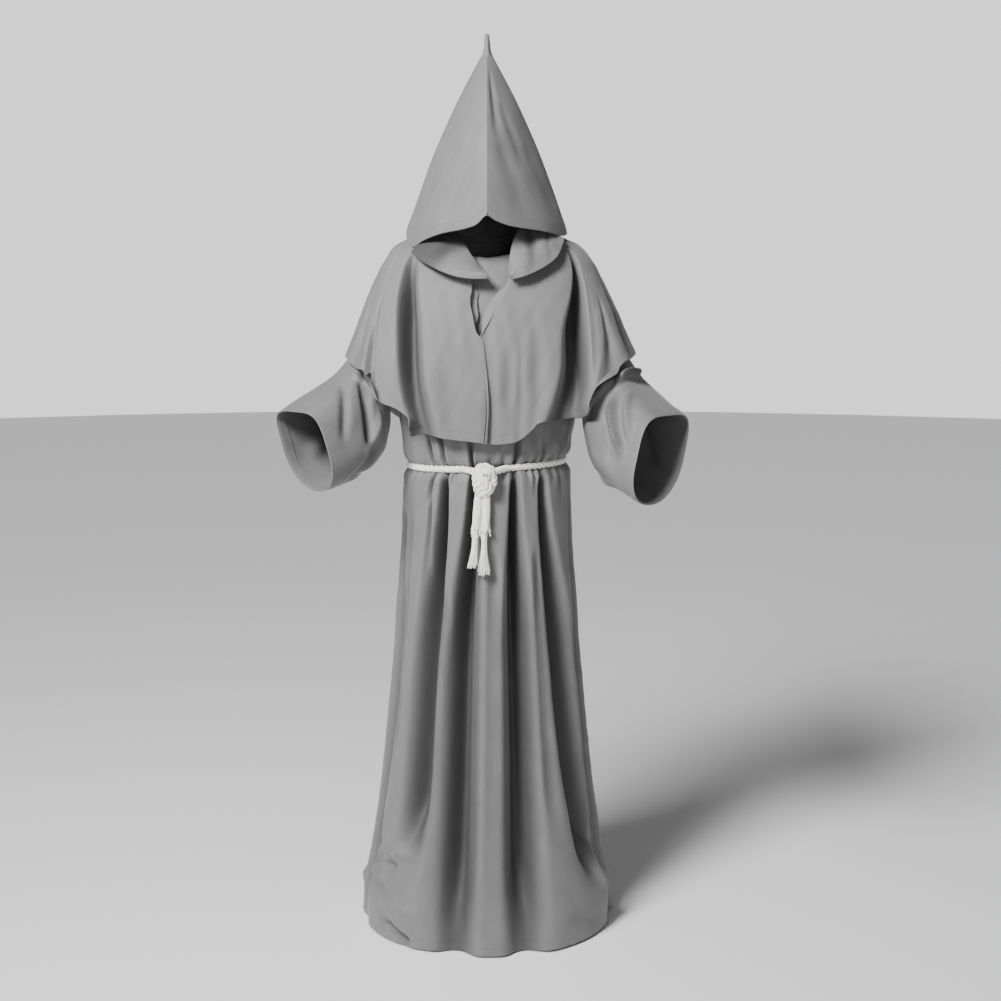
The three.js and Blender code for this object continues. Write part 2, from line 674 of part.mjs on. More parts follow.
// Place on the hood: an oval section drawn to a crease at the front and back seams.
function hoodPlace(turn, share) {
  const angle = radians(turn);
  const edge = read(HOOD_EDGE, 'turn', 'height', turnBetween(0, turn));
  const height = mix(edge, HOOD_TOP, share);
  const at = (name) => read(HOOD_SECTIONS, 'height', name, height);
  const cosine = Math.cos(angle);
  const sine = Math.sin(angle);
  const drawn = mix(Math.abs(cosine), 1 - Math.abs(sine), HOOD_CREASE) * Math.sign(cosine);
  const depth = cosine > 0 ? at('front') : at('back');
  return new THREE.Vector3(at('half') * sine, -depth * drawn, height);
}

function addHoodHalf(name, side) {
  const low = side > 0 ? 0 : 180;
  const geometry = wallGeometry({
    surface: (turn, share) => {
      const place = hoodPlace(turn, share);
      place.x += side * HOOD_SEAM;
      return place;
    },
    columns: evenSteps(low, low + 180, HOOD_COLUMNS),
    rows: HOOD_ROWS,
    middle: [0, HOOD_COLUMNS],
  });
  addPiece(name, geometry, CLOTH_LOOK);
}

// Stub where both halves of the hood end, standing on the top of the hood.
function addHoodTail() {
  const profile = HOOD_TAIL.map((row) => new THREE.Vector2(row.radius, HOOD_TOP + row.rise));
  const geometry = new THREE.LatheGeometry(profile, HOOD_TAIL_SIDES);
  geometry.rotateX(Math.PI / 2);
  const mesh = addPiece('hood_tail', geometry, CLOTH_LOOK);
  mesh.scale.y = HOOD_TAIL_DEPTH;
}

// Foot of the collar: along the slit first, then round the neck, lying on the cape's edge.
function collarFoot(side, along) {
  const ring = COLLAR_FOOT_RING * Math.max(0, 1 - along / COLLAR_CORNER);
  const round = Math.max(0, (along - COLLAR_CORNER) / (1 - COLLAR_CORNER));
  const turn = mix(edgeTurn(ring, side > 0 ? 'left' : 'right'), side * COLLAR_END_TURN, round);
  const place = capeRing(turn, ring + COLLAR_INSET);
  const across = capeRing(turn + 1, ring + COLLAR_INSET).sub(place);
  const down = capeRing(turn, ring + 2 * COLLAR_INSET).sub(place);
  const up = down.cross(across).normalize();
  return place.addScaledVector(up, CLOTH + SEAM_GAP);
}

// Place on the collar: from -1 to 0 it rises from its foot to the roll, from 0 to 1 it lies out
// to its edge.
function collarPlace(lines, side, along, across) {
  const at = (name) => read(lines, 'along', name, along);
  const roll = new THREE.Vector3(at('rollX'), at('rollY'), at('roll'));
  const edge = new THREE.Vector3(at('edgeX'), at('edgeY'), at('edge'));
  if (across < 0) {
    const foot = collarFoot(side, along);
    const bent = Math.sin(-across * Math.PI / 2);
    const height = mix(roll.z, foot.z, across * across);
    return roll.lerp(foot, bent).setZ(height);
  }
  const out = edge.clone().sub(roll).setZ(0).normalize();
  const place = roll.lerp(edge, across);
  const belly = Math.sin(Math.PI * across);
  place.z += COLLAR_BELLY.rise * belly;
  return place.addScaledVector(out, COLLAR_BELLY.out * belly);
}

function addCollar(name, lines, side) {
  const columns = evenSteps(0, 1, COLLAR_COLUMNS);
  const geometry = wallGeometry({
    surface: (along, across) => collarPlace(lines, side, side > 0 ? along : 1 - along, -across),
    columns,
    rows: COLLAR_ROWS.map((row) => -row).reverse(),
  });
  addPiece(name, geometry, CLOTH_LOOK);
}

function roundSection(diameter, sides) {
  const shape = new THREE.Shape();
  for (let i = 0; i < sides; i += 1) {
    const angle = i / sides * 2 * Math.PI;
    const x = diameter / 2 * Math.cos(angle);
    const y = diameter / 2 * Math.sin(angle);
    if (i === 0) {
      shape.moveTo(x, y);
    } else {
      shape.lineTo(x, y);
    }
  }
  shape.closePath();
  return shape;
}

function tube(places, diameter, sides, steps) {
  const path = new THREE.CatmullRomCurve3(places);
  const options = { steps, extrudePath: path, bevelEnabled: false };
  return new THREE.ExtrudeGeometry(roundSection(diameter, sides), options);
}

// Middle of the rope on the pinched waist.
function beltPlace(turn) {
  const angle = radians(turn);
  const place = robePlace(turn, BELT_HEIGHT);
  const half = read(ROBE_SECTIONS, 'height', 'half', BELT_HEIGHT);
  const depth = read(ROBE_SECTIONS, 'height', Math.cos(angle) > 0 ? 'front' : 'back', BELT_HEIGHT);
  const normal = new THREE.Vector2(Math.sin(angle) / half, -Math.cos(angle) / depth).normalize();
  const out = ROPE_DIAMETER / 2 + ROPE_CLEARANCE;
  const height = BELT_HEIGHT + BELT_TILT * Math.sin(angle);
  return new THREE.Vector3(place.x + normal.x * out, place.y + normal.y * out, height);
}

// Where the rope meets the knot on one side, and the way it leaves the knot.
function beltEnd(side) {
  const place = knotPlace(side * BELT_END.x, BELT_END.y, BELT_END.height);
  const away = beltPlace(side * BELT_END_TURN).sub(place).normalize();
  return { place, away };
}

// The belt runs round the waist from one side of the knot to the other.
function addBelt() {
  const left = beltEnd(1);
  const right = beltEnd(-1);
  const turns = evenSteps(BELT_END_TURN, 360 - BELT_END_TURN, BELT_STEPS);
  const places = [
    left.place.clone().addScaledVector(left.away, TOUCH),
    ...turns.map(beltPlace),
    right.place.clone().addScaledVector(right.away, TOUCH),
  ];
  addPiece('belt', tube(places, ROPE_DIAMETER, ROPE_SIDES, BELT_STEPS + 2), ROPE_LOOK);
}

function asSolid(geometry) {
  const plain = geometry.clone();
  plain.deleteAttribute('normal');
  plain.deleteAttribute('uv');
  const merged = mergeVertices(plain, 1e-3);
  return new wasm.Manifold(new wasm.Mesh({
    numProp: 3,
    vertProperties: new Float32Array(merged.attributes.position.array),
    triVerts: new Uint32Array(merged.index.array),
  }));
}

function asGeometry(solid) {
  const mesh = solid.getMesh();
  const geometry = new THREE.BufferGeometry();
  geometry.setAttribute('position', new THREE.Float32BufferAttribute(mesh.vertProperties, 3));
  geometry.setIndex([...mesh.triVerts]);
  geometry.computeVertexNormals();
  return geometry;
}

// Place beside the middle of the knot.
function knotPlace(x, y, height) {
  return new THREE.Vector3(KNOT.x + x, KNOT.y + y, KNOT.height + height);
}

// One end of the rope from the belt through the knot.
function knotStrand(end, rows) {
  const lead = end.place.clone().addScaledVector(end.away, -KNOT_LEAD);
  const places = [end.place, lead, ...rows.map((row) => knotPlace(row.x, row.y, row.height))];
  return asSolid(tube(places, ROPE_DIAMETER, ROPE_SIDES, 14));
}

// Knot: two rope strands that cross in front and behind, with one turn of rope round them.
function addKnot() {
  const wrap = new THREE.TorusGeometry(KNOT_WRAP.radius, ROPE_DIAMETER / 2, ROPE_SIDES, 14);
  wrap.rotateX(Math.PI / 2);
  wrap.rotateY(KNOT_WRAP.turn);
  wrap.translate(KNOT.x, KNOT.y, KNOT.height - KNOT_WRAP.drop);
  const first = knotStrand(beltEnd(-1), KNOT_FIRST);
  const second = knotStrand(beltEnd(1), KNOT_SECOND);
  addPiece('belt_knot', asGeometry(first.add(second).add(asSolid(wrap))), ROPE_LOOK);
}

// Hanging end of the rope: straight out of the knot, then leaning over the skirt to its tassel.
function addTail(name, offset, lean) {
  const top = TAIL_START - TOUCH;
  const low = TAIL_LOW - KNOT.height;
  const places = [
    knotPlace(offset, 0, top),
    knotPlace(offset, 0, top - 6),
    knotPlace(offset + lean * 0.5, -4, mix(top, low, 0.5)),
    knotPlace(offset + lean, -8, low + 6),
    knotPlace(offset + lean, -8, low),
  ];
  addPiece(name, tube(places, TAIL_DIAMETER, ROPE_SIDES, 5), ROPE_LOOK);
  return places.at(-1);
}

// Frayed end: strands that leave a bound head in a ring and flare on the way down.
function addTassel(name, start, low, flare, drift) {
  const head = new THREE.CylinderGeometry(
    TASSEL_HEAD.top,
    TASSEL_HEAD.low,
    TASSEL_HEAD.length,
    TASSEL_HEAD.sides,
  );
  head.rotateX(Math.PI / 2);
  head.translate(start.x, start.y, start.z - TASSEL_HEAD.length / 2 - TOUCH);
  let solid = asSolid(head);
  for (let i = 0; i < TASSEL_STRANDS; i += 1) {
    const angle = i / TASSEL_STRANDS * 2 * Math.PI;
    const reach = i % 2 === 0 ? flare : flare * 0.55;
    const end = low + (i % 3) * 5;
    const place = (radius, share, height) => new THREE.Vector3(
      start.x + drift * share + radius * Math.cos(angle),
      start.y + TASSEL_FORWARD * share + radius * Math.sin(angle) * mix(1, 0.6, share),
      height,
    );
    const places = [
      place(3.4, 0, start.z - TASSEL_HEAD.length / 2),
      place(4.6, 0.4, mix(start.z, end, 0.45)),
      place(reach, 1, end),
    ];
    solid = solid.add(asSolid(tube(places, STRAND_WIDTH, 4, 3)));
  }
  addPiece(name, asGeometry(solid), ROPE_LOOK);
}

addRobe();
addSleeve('sleeve_left', SLEEVE_LEFT_RINGS, 1);
addSleeve('sleeve_right', SLEEVE_RIGHT_RINGS, -1);
addCapeFront('cape_front_left', 1);
addCapeFront('cape_front_right', -1);
addCapeBack();
addFacing('facing_left', 1, 13);
addFacing('facing_right', -1, 22);
addHoodHalf('hood_left', 1);
addHoodHalf('hood_right', -1);
addHoodTail();
addCollar('collar_left', COLLAR_LEFT_LINES, 1);
addCollar('collar_right', COLLAR_RIGHT_LINES, -1);
addBelt();
addKnot();
const leftEnd = addTail('belt_tail_left', 3, -4);
const rightEnd = addTail('belt_tail_right', -13, -7);
addTassel('tassel_left', leftEnd, 816, 13, -1);
addTassel('tassel_right', rightEnd, 831, 10, -7);

export default habit;
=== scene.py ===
import math
import random

import bpy
import numpy as np
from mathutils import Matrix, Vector


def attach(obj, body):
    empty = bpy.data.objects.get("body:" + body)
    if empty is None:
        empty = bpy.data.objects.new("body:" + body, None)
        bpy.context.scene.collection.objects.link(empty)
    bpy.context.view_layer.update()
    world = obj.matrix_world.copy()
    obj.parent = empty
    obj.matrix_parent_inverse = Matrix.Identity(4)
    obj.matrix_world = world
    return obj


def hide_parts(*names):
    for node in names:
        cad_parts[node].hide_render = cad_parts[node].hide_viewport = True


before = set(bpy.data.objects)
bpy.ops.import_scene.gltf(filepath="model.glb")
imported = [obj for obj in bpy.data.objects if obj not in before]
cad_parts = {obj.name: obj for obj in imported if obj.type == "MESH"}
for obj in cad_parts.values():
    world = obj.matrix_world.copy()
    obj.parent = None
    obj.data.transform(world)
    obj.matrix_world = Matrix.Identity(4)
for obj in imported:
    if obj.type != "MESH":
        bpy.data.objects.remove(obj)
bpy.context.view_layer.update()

# Sizes in millimetres, heights above the floor that the hem reaches, as in the part's own tables.
SHOULDER_HEIGHT = 1500
CLOTH = 1.6
LIP = 7
HEM_WIDTH = 20
NO_HEM = 500
# Fold depth that sets how fast the painted shade in folds darkens the colour.
PAINTED_FOLD_SHADE_DEPTH = 22
HEM_GAP = 3.4
HEM_ROLL = 1.2
ARMPIT_HEIGHT = 1262
ARMHOLE_BULGE = 62
BELT_HEIGHT = 1052
BELT_TILT = 6
BELT_END_TURN = 16
ROPE_DIAMETER = 15
ROPE_LIFT = 1.5
ROPE_STRANDS = 3
HOOD_TOP = 1934
HOOD_CREASE = 0.35
CUFF_TOP_SQUARENESS = 4.2
CUFF_LOW_SQUARENESS = 2.3
CAPE_LEAN = 0.022
CAPE_SQUARENESS = 3
CAPE_FADE = 0.4
KNOT = (-5, -166, 1029)
BELT_END = (25, 11, 20)
TAIL_DIAMETER = 14
TAIL_START = -34
TAIL_LOW = 905

# The camera stands where the photograph was taken from, in metres and degrees.
CAMERA_DISTANCE = 3.4
CAMERA_HEIGHT = 1.45
CAMERA_PITCH = 8
PICTURE = 1001
FOCAL_PIXELS = 1532
AXIS_PIXEL = (487.0, 496.8)


def table(names, *rows):
    """Short table with named columns."""
    columns = np.array(rows, dtype=float).T
    return dict(zip(names.split(), columns))


# Robe: half width and depths of each section. The rope draws the waist in.
ROBE_SECTIONS = table(
    "height half front back",
    (5, 288, 262, 250),
    (60, 287, 258, 247),
    (158, 268, 245, 236),
    (266, 251, 230, 224),
    (374, 237, 217, 212),
    (480, 226, 206, 202),
    (621, 212, 191, 190),
    (725, 204, 180, 181),
    (828, 196, 169, 172),
    (931, 189, 158, 163),
    (1000, 186, 151, 156),
    (1028, 184, 147, 152),
    (1041, 176, 141, 146),
    (1048, 165, 131, 136),
    (1056, 165, 131, 136),
    (1063, 176, 141, 146),
    (1078, 185, 146, 151),
    (1112, 189, 148, 152),
    (1170, 197, 146, 150),
    (1262, 204, 134, 141),
)
FRONT_TOP = table(
    "across x y height",
    (0, 0, -72, 1500),
    (0.25, 46, -62, 1508),
    (0.4, 79, -30, 1536),
    (0.5, 92, -0.3, 1555),
    (0.75, 146, -0.3, 1526),
    (1, 204, -0.3, 1473),
)
BACK_TOP = table(
    "across x y height",
    (0, 0, 72, 1542),
    (0.25, 48, 62, 1545),
    (0.4, 79, 30, 1552),
    (0.5, 92, 0.3, 1555),
    (0.75, 146, 0.3, 1526),
    (1, 204, 0.3, 1473),
)

# Skirt folds: turns in degrees at the belt, at half height and at the hem, with the heights
# between which each runs, its depth and its half spread in degrees at half height.
SKIRT_FOLDS = table(
    "top low belt middle hem depth spread",
    (1060, 150, -30, -41.5, -42, 60, 7.0),
    (1060, -300, -9, -15, -15, 72, 7.2),
    (1060, -300, 19, 20, 17.5, 66, 7.0),
    (1060, 60, 41, 54, 65, 54, 8.2),
    (1035, 700, -41, -47, -50, 13, 3.4),
    (900, -200, 5, 4, 2, 9, 4.5),
    (820, -200, -28, -27, -28, 9, 4.0),
    (900, 200, 33, 36, 38, 10, 4.0),
    (990, 300, -62, -64, -66, 9, 4.5),
    (960, -300, -74, -76, -79, 22, 6.0),
    (1020, -300, 74, 78, 82, 22, 5.5),
    (1040, -300, -102, -103, -101, 32, 6.0),
    (1040, 60, -127, -132, -134, 34, 6.2),
    (950, -200, -143, -144, -146, 11, 4.0),
    (1045, -300, -158, -156, -154, 54, 5.8),
    (1045, -300, 178, 177, 175, 48, 5.2),
    (860, -200, -170, -168, -166, 9, 4.0),
    (1045, -300, 152, 154, 155, 56, 5.6),
    (930, -100, 140, 139, 137, 11, 4.2),
    (1040, 90, 127, 123, 121, 33, 6.2),
    (1010, -300, 99, 101, 103, 26, 6.0),
)
SKIRT_FADE = 190
SKIRT_START = 80
HEM_CALM = 240
HEM_DEPTH = 0.45

# Gathers at the rope: turn at the rope and at their upper and lower ends, lengths and depths.
GATHERS = table(
    "turn up_turn up up_depth down_turn down down_depth spread",
    (-84, -86, 46, 9, -86, 60, 9, 2.4),
    (-73, -75, 30, 6, -72, 44, 8, 2.0),
    (-61, -64, 60, 10, -62, 40, 8, 2.2),
    (-52, -55, 26, 6, -54, 30, 6, 1.8),
    (-38, -45, 110, 23, -43, 62, 18, 1.35),
    (-29, -34, 100, 23, -31, 90, 18, 1.35),
    (-22, -23, 24, 6, -24, 34, 6, 1.8),
    (-10, -11.5, 100, 22, -9, 90, 18, 1.3),
    (2, 3, 30, 6, 1, 40, 8, 2.0),
    (11, 12, 44, 8, 11, 30, 6, 1.8),
    (20, 21, 100, 22, 19, 90, 18, 2.0),
    (29, 30, 28, 6, 30, 36, 6, 1.7),
    (35, 37, 50, 10, 35, 50, 10, 1.7),
    (41, 42, 64, 16, 42, 80, 16, 1.7),
    (51, 53, 34, 9, 52, 30, 8, 2.0),
    (60, 62, 60, 14, 60, 66, 10, 2.4),
    (71, 72, 34, 9, 73, 44, 9, 2.0),
    (82, 84, 52, 9, 83, 58, 10, 2.4),
    (94, 95, 34, 8, 95, 52, 9, 2.2),
    (103, 104, 62, 14, 102, 80, 14, 2.2),
    (115, 116, 28, 8, 114, 34, 8, 1.9),
    (127, 129, 70, 16, 125, 86, 16, 2.0),
    (137, 138, 36, 8, 137, 44, 9, 1.9),
    (151, 152, 66, 16, 152, 90, 18, 2.0),
    (162, 163, 30, 8, 161, 38, 8, 1.8),
    (170, 171, 48, 10, 169, 44, 9, 1.9),
    (179, 178, 64, 14, 178, 86, 16, 2.0),
    (-171, -172, 32, 8, -170, 42, 8, 1.8),
    (-158, -159, 70, 16, -157, 90, 18, 2.0),
    (-148, -149, 36, 9, -147, 40, 9, 1.9),
    (-139, -140, 26, 6, -139, 34, 6, 1.8),
    (-127, -129, 60, 14, -128, 84, 16, 2.0),
    (-115, -116, 34, 8, -114, 44, 9, 2.0),
    (-102, -103, 58, 14, -102, 80, 14, 2.2),
    (-93, -94, 28, 6, -94, 36, 8, 2.0),
)

# Robe creases: ends in degrees and millimetres, sideways bow, depth (a ridge is negative), width.
ROBE_CREASES = table(
    "turn0 height0 turn1 height1 bow depth width",
    (-76, 262, -66, 186, 4, 14, 7),
    (-70, 172, -46, 160, -6, 12, 10),
    (-38, 214, -72, 104, 20, -14, 11),
    (-56, 48, -34, 8, 4, 20, 10),
    (-78, 128, -50, 112, 4, 9, 9),
    (-60, 92, -30, 70, -5, -8, 10),
    (60, 262, 77, 60, 8, -14, 12),
    (72, 250, 84, 100, 6, 10, 10),
    (36, 66, 62, 22, -6, 6, 15),
    (-152, 210, -126, 130, 14, 10, 12),
    (150, 150, 176, 90, -12, -9, 14),
    (118, 240, 102, 130, 10, 10, 12),
    (-108, 120, -88, 70, -8, -9, 12),
)

# Sleeves: top and bottom points of each ring from armhole to cuff, and half its spread sideways.
SLEEVE_LEFT_RINGS = table(
    "along top_x top_y top low_x low_y low side_x side_y",
    (0, 206, 0, 1470, 206, 0, 1264, 0, 61),
    (0.16, 243, -4, 1438, 213, -6, 1192, 8, 70),
    (0.32, 270, -12, 1372, 217, -18, 1132, 16, 75),
    (0.48, 294, -30, 1300, 227, -42, 1084, 26, 76),
    (0.64, 320, -68, 1246, 249, -84, 1046, 38, 74),
    (0.82, 348, -120, 1208, 291, -140, 1012, 50, 68),
    (1, 384, -180, 1170, 346, -200, 985, 56, 56),
)
SLEEVE_RIGHT_RINGS = table(
    "along top_x top_y top low_x low_y low side_x side_y",
    (0, 206, 0, 1470, 206, 0, 1264, 0, 61),
    (0.16, 240, -4, 1436, 213, -6, 1192, 8, 70),
    (0.32, 264, -12, 1368, 217, -18, 1134, 16, 75),
    (0.48, 288, -30, 1298, 228, -42, 1090, 26, 76),
    (0.64, 322, -68, 1246, 255, -84, 1054, 38, 74),
    (0.82, 362, -120, 1214, 306, -140, 1024, 50, 68),
    (1, 406, -180, 1180, 358, -200, 1012, 55, 55),
)

# Sleeve creases: ends as turn round the sleeve and share of the way to the cuff.
SLEEVE_BACK_CREASES = table(
    "around0 along0 around1 along1 bow depth width",
    (90, 0.42, 160, 0.72, 12, 12, 16),
    (60, 0.62, 120, 0.90, 8, 9, 16),
    (110, 0.50, 200, 0.58, -10, 9, 14),
    (20, 0.44, 80, 0.50, 6, -6, 10),
    (170, 0.60, 215, 0.86, 8, 8, 13),
)
SLEEVE_RIGHT_CREASES = table(
    "around0 along0 around1 along1 bow depth width",
    (322, 0.54, 238, 0.71, 0, 22, 14),
    (335, 0.66, 272, 0.90, 3, 11, 12),
    (262, 0.48, 242, 0.76, 0, -9, 9),
    (262, 0.38, 350, 0.55, -5, -9, 6),
    (282, 0.46, 322, 0.56, 0, 15, 5),
    (270, 0.49, 338, 0.61, -3, -7, 6),
    (240, 0.56, 205, 0.90, 8, 9, 13),
)
SLEEVE_LEFT_CREASES = table(
    "around0 along0 around1 along1 bow depth width",
    (232, 0.32, 352, 0.60, -15, -12, 8),
    (234, 0.37, 318, 0.59, 5, 22, 8),
    (308, 0.59, 372, 0.67, 0, 26, 9),
    (304, 0.62, 262, 0.92, 5, 22, 11),
    (328, 0.72, 288, 0.95, -4, 9, 9),
    (256, 0.44, 226, 0.88, 8, 24, 17),
    (280, 0.58, 256, 0.82, 2, -8, 8),
)

# Cape: rings from the neck seam (0) to the hem (1), with their heights at front, side and back.
CAPE_RINGS = table(
    "ring half front back front_z side_z back_z",
    (0, 98, 98, 82, 1486, 1554.5, 1546),
    (0.12, 142, 119, 104, 1461, 1552, 1537),
    (0.24, 178, 133, 122, 1429, 1540, 1519),
    (0.36, 205, 146, 136, 1388, 1525, 1490),
    (0.48, 229, 156, 146, 1342, 1494, 1444),
    (0.6, 251, 164, 154, 1294, 1452, 1384),
    (0.74, 276, 171, 160, 1236, 1398, 1296),
    (0.88, 300, 176, 165, 1172, 1338, 1190),
    (1, 320, 180, 168, 1112, 1292, 1088),
)
CAPE_HEM = table(
    "turn height",
    (-180, 1088), (-155, 1110), (-135, 1172), (-112, 1252), (-90, 1289), (-66, 1283),
    (-52, 1270), (-45, 1262), (-42, 1240), (-40, 1198), (-34, 1185), (-29, 1167),
    (-26, 1153), (-23, 1138), (-20, 1127), (-16, 1121), (-6, 1115), (3, 1109), (10, 1113), (14, 1126), (18.5, 1153), (27, 1165),
    (35, 1190), (40, 1234), (51, 1275), (66, 1290), (90, 1297), (112, 1258), (135, 1180),
    (155, 1118), (180, 1088),
)
# Cape folds: where each starts as a ring, its turns high up, half way and at the hem, its depth,
# half spread and sharpness.
CAPE_FOLDS = table(
    "start high middle low depth spread sharp",
    (0.16, -23, -22.2, -23.5, 52, 2.7, 3),
    (0.20, 31.5, 26, 29, 56, 4.2, 4),
    (0.66, -42.5, -43, -44.5, 30, 2.6, 3),
    (0.55, -56, -56, -56, 14, 4.2, 2),
    (0.58, 1.4, 1.4, 1.6, 12, 1.9, 2),
    (0.45, 7.5, 7.5, 7.5, 7, 2.6, 2),
    (0.50, -13, -13, -13, 6, 2.8, 2),
    (0.40, 14, 15, 17, 8, 1.9, 2),
    (0.50, 10, 11, 12, 6, 1.3, 2),
    (0.55, 47, 47, 47, 18, 3.4, 2),
    (0.50, 66, 66, 66, 12, 4.0, 2),
    (0.50, -74, -74, -74, 12, 4.0, 2),
    (0.45, -104, -104, -104, 14, 4.5, 2),
    (0.40, -122, -122, -122, 26, 6.0, 2),
    (0.34, -152, -152, -152, 36, 5.6, 2),
    (0.55, -166, -166, -166, 11, 3.4, 2),
    (0.38, 176, 176, 176, 30, 5.6, 2),
    (0.34, 146, 146, 146, 36, 5.8, 2),
    (0.55, 161, 161, 161, 11, 3.4, 2),
    (0.42, 119, 119, 119, 26, 6.0, 2),
    (0.50, 102, 102, 102, 13, 4.5, 2),
)
CAPE_FOLD_TOP = 0.28
CAPE_FOLD_RUN = 0.34
CAPE_HEM_START = 0.7
CAPE_HEM_DEPTH = 0.62
CAPE_HEM_SPREAD = 1.45
# Cape grain: the threads that leave the hem at one turn reach the neck seam at another.
CAPE_GRAIN = table(
    "hem neck", (0, 0), (12, 26), (25.5, 74), (32, 82), (50, 86), (90, 90),
)
FRONT_EDGE = table(
    "height right left",
    (1112, -8, -8),
    (1187, -3, -3),
    (1315, -13, -13),
    (1328, -17, -16),
    (1345, -31, -8),
    (1377, -38, 10),
    (1400, -43, 20),
    (1411, -43, 29),
    (1426, -40, 41),
    (1440, -40, 49),
    (1482, -38, 54),
)
SLIT_LOW = 1330
CAPE_OVERLAP = 1.0
CAPE_UNDER = 4

# Hood: half width and depths by height, and its lower edge by turn.
HOOD_SECTIONS = table(
    "height half front back",
    (1515, 181, 170, 132),
    (1562, 174, 173, 144),
    (1595, 163, 171, 152),
    (1659, 140, 163, 157),
    (1724, 114, 145, 147),
    (1788, 87, 117, 124),
    (1852, 55, 79, 90),
    (1912, 23, 33, 41),
    (1934, 10, 11, 13),
)
HOOD_EDGE = table(
    "turn height",
    (-180, 1536), (-130, 1550), (-90, 1554), (-74, 1538), (-64, 1523), (-49, 1538),
    (-33, 1551), (-17, 1559), (-8, 1567), (0, 1587), (6, 1577), (17, 1566), (42, 1557),
    (70, 1549), (90, 1554), (130, 1550), (180, 1536),
)
HOOD_CREASES = table(
    "turn0 share0 turn1 share1 bow depth width",
    (-30, 0.02, -14, 0.5, -6, 3, 22),
    (28, 0.02, 12, 0.55, 6, 4, 20),
    (70, 0.1, 40, 0.5, 10, 4, 24),
    (-75, 0.1, -45, 0.45, -10, 3, 24),
    (150, 0.0, 140, 0.5, 10, 7, 20),
    (-150, 0.0, -145, 0.45, -10, 7, 20),
    (172, 0.0, 174, 0.4, 5, 5, 16),
    (115, 0.05, 150, 0.35, 12, 5, 18),
    (15, 0.46, 9, 0.96, 0, 6, 17),
    (40, 0.30, 22, 0.75, 5, 4, 16),
    (-118, 0.05, -150, 0.3, -12, 5, 18),
)

# Turned-out collar: its roll over the neck and its lying edge, from the slit to the shoulder.
COLLAR_RIGHT_LINES = table(
    "along roll_x roll_y roll edge_x edge_y edge",
    (0, -1, -138, 1464, 0, -149, 1456),
    (0.12, -14, -126, 1480, -30, -151, 1456.5),
    (0.25, -26, -115, 1497, -57, -150, 1460),
    (0.38, -35, -106, 1510, -83, -145, 1467.5),
    (0.5, -43, -97, 1524, -106, -137, 1477),
    (0.75, -66, -68, 1556, -142, -108, 1496),
    (1, -98, -16, 1574, -162, -80, 1513),
)
COLLAR_LEFT_LINES = table(
    "along roll_x roll_y roll edge_x edge_y edge",
    (0, 44, -138, 1460, 48, -149, 1454),
    (0.25, 48, -113, 1506, 78, -148, 1462),
    (0.5, 54, -97, 1534, 118, -133, 1480),
    (0.75, 72, -66, 1565, 150, -108, 1505),
    (1, 98, -16, 1576, 166, -61, 1540),
)
COLLAR_LEFT_CREASES = table(
    "along0 across0 along1 across1 bow depth width",
    (0.98, -0.30, 0.14, 1.25, 0, 9, 10),
    (1.10, 0.10, 0.46, 1.20, 0, 6, 5),
)
COLLAR_RIGHT_CREASES = table(
    "along0 across0 along1 across1 bow depth width",
    (0.62, 0.0, 0.60, 1.0, 4, 4, 14),
)
COLLAR_BELLY = (5.4, 7.2)
COLLAR_END_TURN = 80
COLLAR_FOOT_RING = 0.15
COLLAR_INSET = 0.03
COLLAR_CORNER = 0.25
# Painted shadow of the hood on the right collar, as millimetres of fold depth: it darkens the colour and doesn't move
# the cloth.
COLLAR_PAINTED_SHADOW_DEPTH = 38

# Knot: the ways of the rope's two ends through it and of the turns that fill it, from its middle.
KNOT_FIRST = (
    (-16, -3, 23), (-3, -12, 22), (10, -12, 21), (19, -4, 8), (17, -5, -8), (8, -6, -20), (3, 0, -29),
    (3, 0, TAIL_START),
)
KNOT_SECOND = (
    (13, 3, 26), (0, 2, 31), (-13, -3, 28), (-19, -5, 12), (-18, -6, -6), (-15, -5, -20), (-13, 0, -29),
    (-13, 0, TAIL_START),
)
KNOT_FILLING = (
    ((-8, -2, 20), (-8, -8, 4), (-7, -8, -14), (-8, -5, -32)),
    ((5, -2, 20), (4, -9, 4), (2, -9, -14), (-1, -5, -32)),
    ((-15, 0, 18), (-9, -13, 12), (3, -18, 0), (12, -14, -13), (10, -2, -24)),
)
# Fringe of short ends laid over the hanging ropes below the knot.
FRINGE = table("offset lean low strands", (-13, -5, 921, 30), (3, -1, 919, 30))
FRINGE_TOP = 1003


def mix(low, high, share):
    return low + (high - low) * share


def ease(share):
    clear = np.clip(share, 0, 1)
    return clear * clear * (3 - 2 * clear)


def hump(offset, spread, sharp=2):
    return np.exp(-np.abs(offset / spread) ** sharp)


def turn_between(start, end):
    """Shortest way round from one turn to another, in degrees."""
    return (end - start + 540) % 360 - 180


def read(rows, key, name, at):
    """Smooth value of one column at values of its key column, without overshoot."""
    keys = rows[key]
    values = rows[name]
    rise = np.diff(values) / np.diff(keys)
    slope = np.concatenate(([rise[0]], np.zeros(len(keys) - 2), [rise[-1]]))
    for i in range(1, len(keys) - 1):
        if rise[i - 1] * rise[i] > 0:
            slope[i] = 2 * rise[i - 1] * rise[i] / (rise[i - 1] + rise[i])
    at = np.clip(at, keys[0], keys[-1])
    low = np.clip(np.searchsorted(keys, at, side="left") - 1, 0, len(keys) - 2)
    span = keys[low + 1] - keys[low]
    t = (at - keys[low]) / span
    start = (1 + 2 * t) * (1 - t) ** 2
    leave = t * (1 - t) ** 2 * span
    end = t * t * (3 - 2 * t)
    arrive = t * t * (t - 1) * span
    return (start * values[low] + leave * slope[low]
            + end * values[low + 1] + arrive * slope[low + 1])


def at_each(rows):
    """The rows of a table, one after another, each as a dictionary."""
    for values in zip(*rows.values()):
        yield dict(zip(rows, values))


def place(x, y, height):
    return np.stack(np.broadcast_arrays(x, y, height), axis=-1)


def unit(vectors):
    length = np.linalg.norm(vectors, axis=-1, keepdims=True)
    return vectors / np.maximum(length, 1e-9)


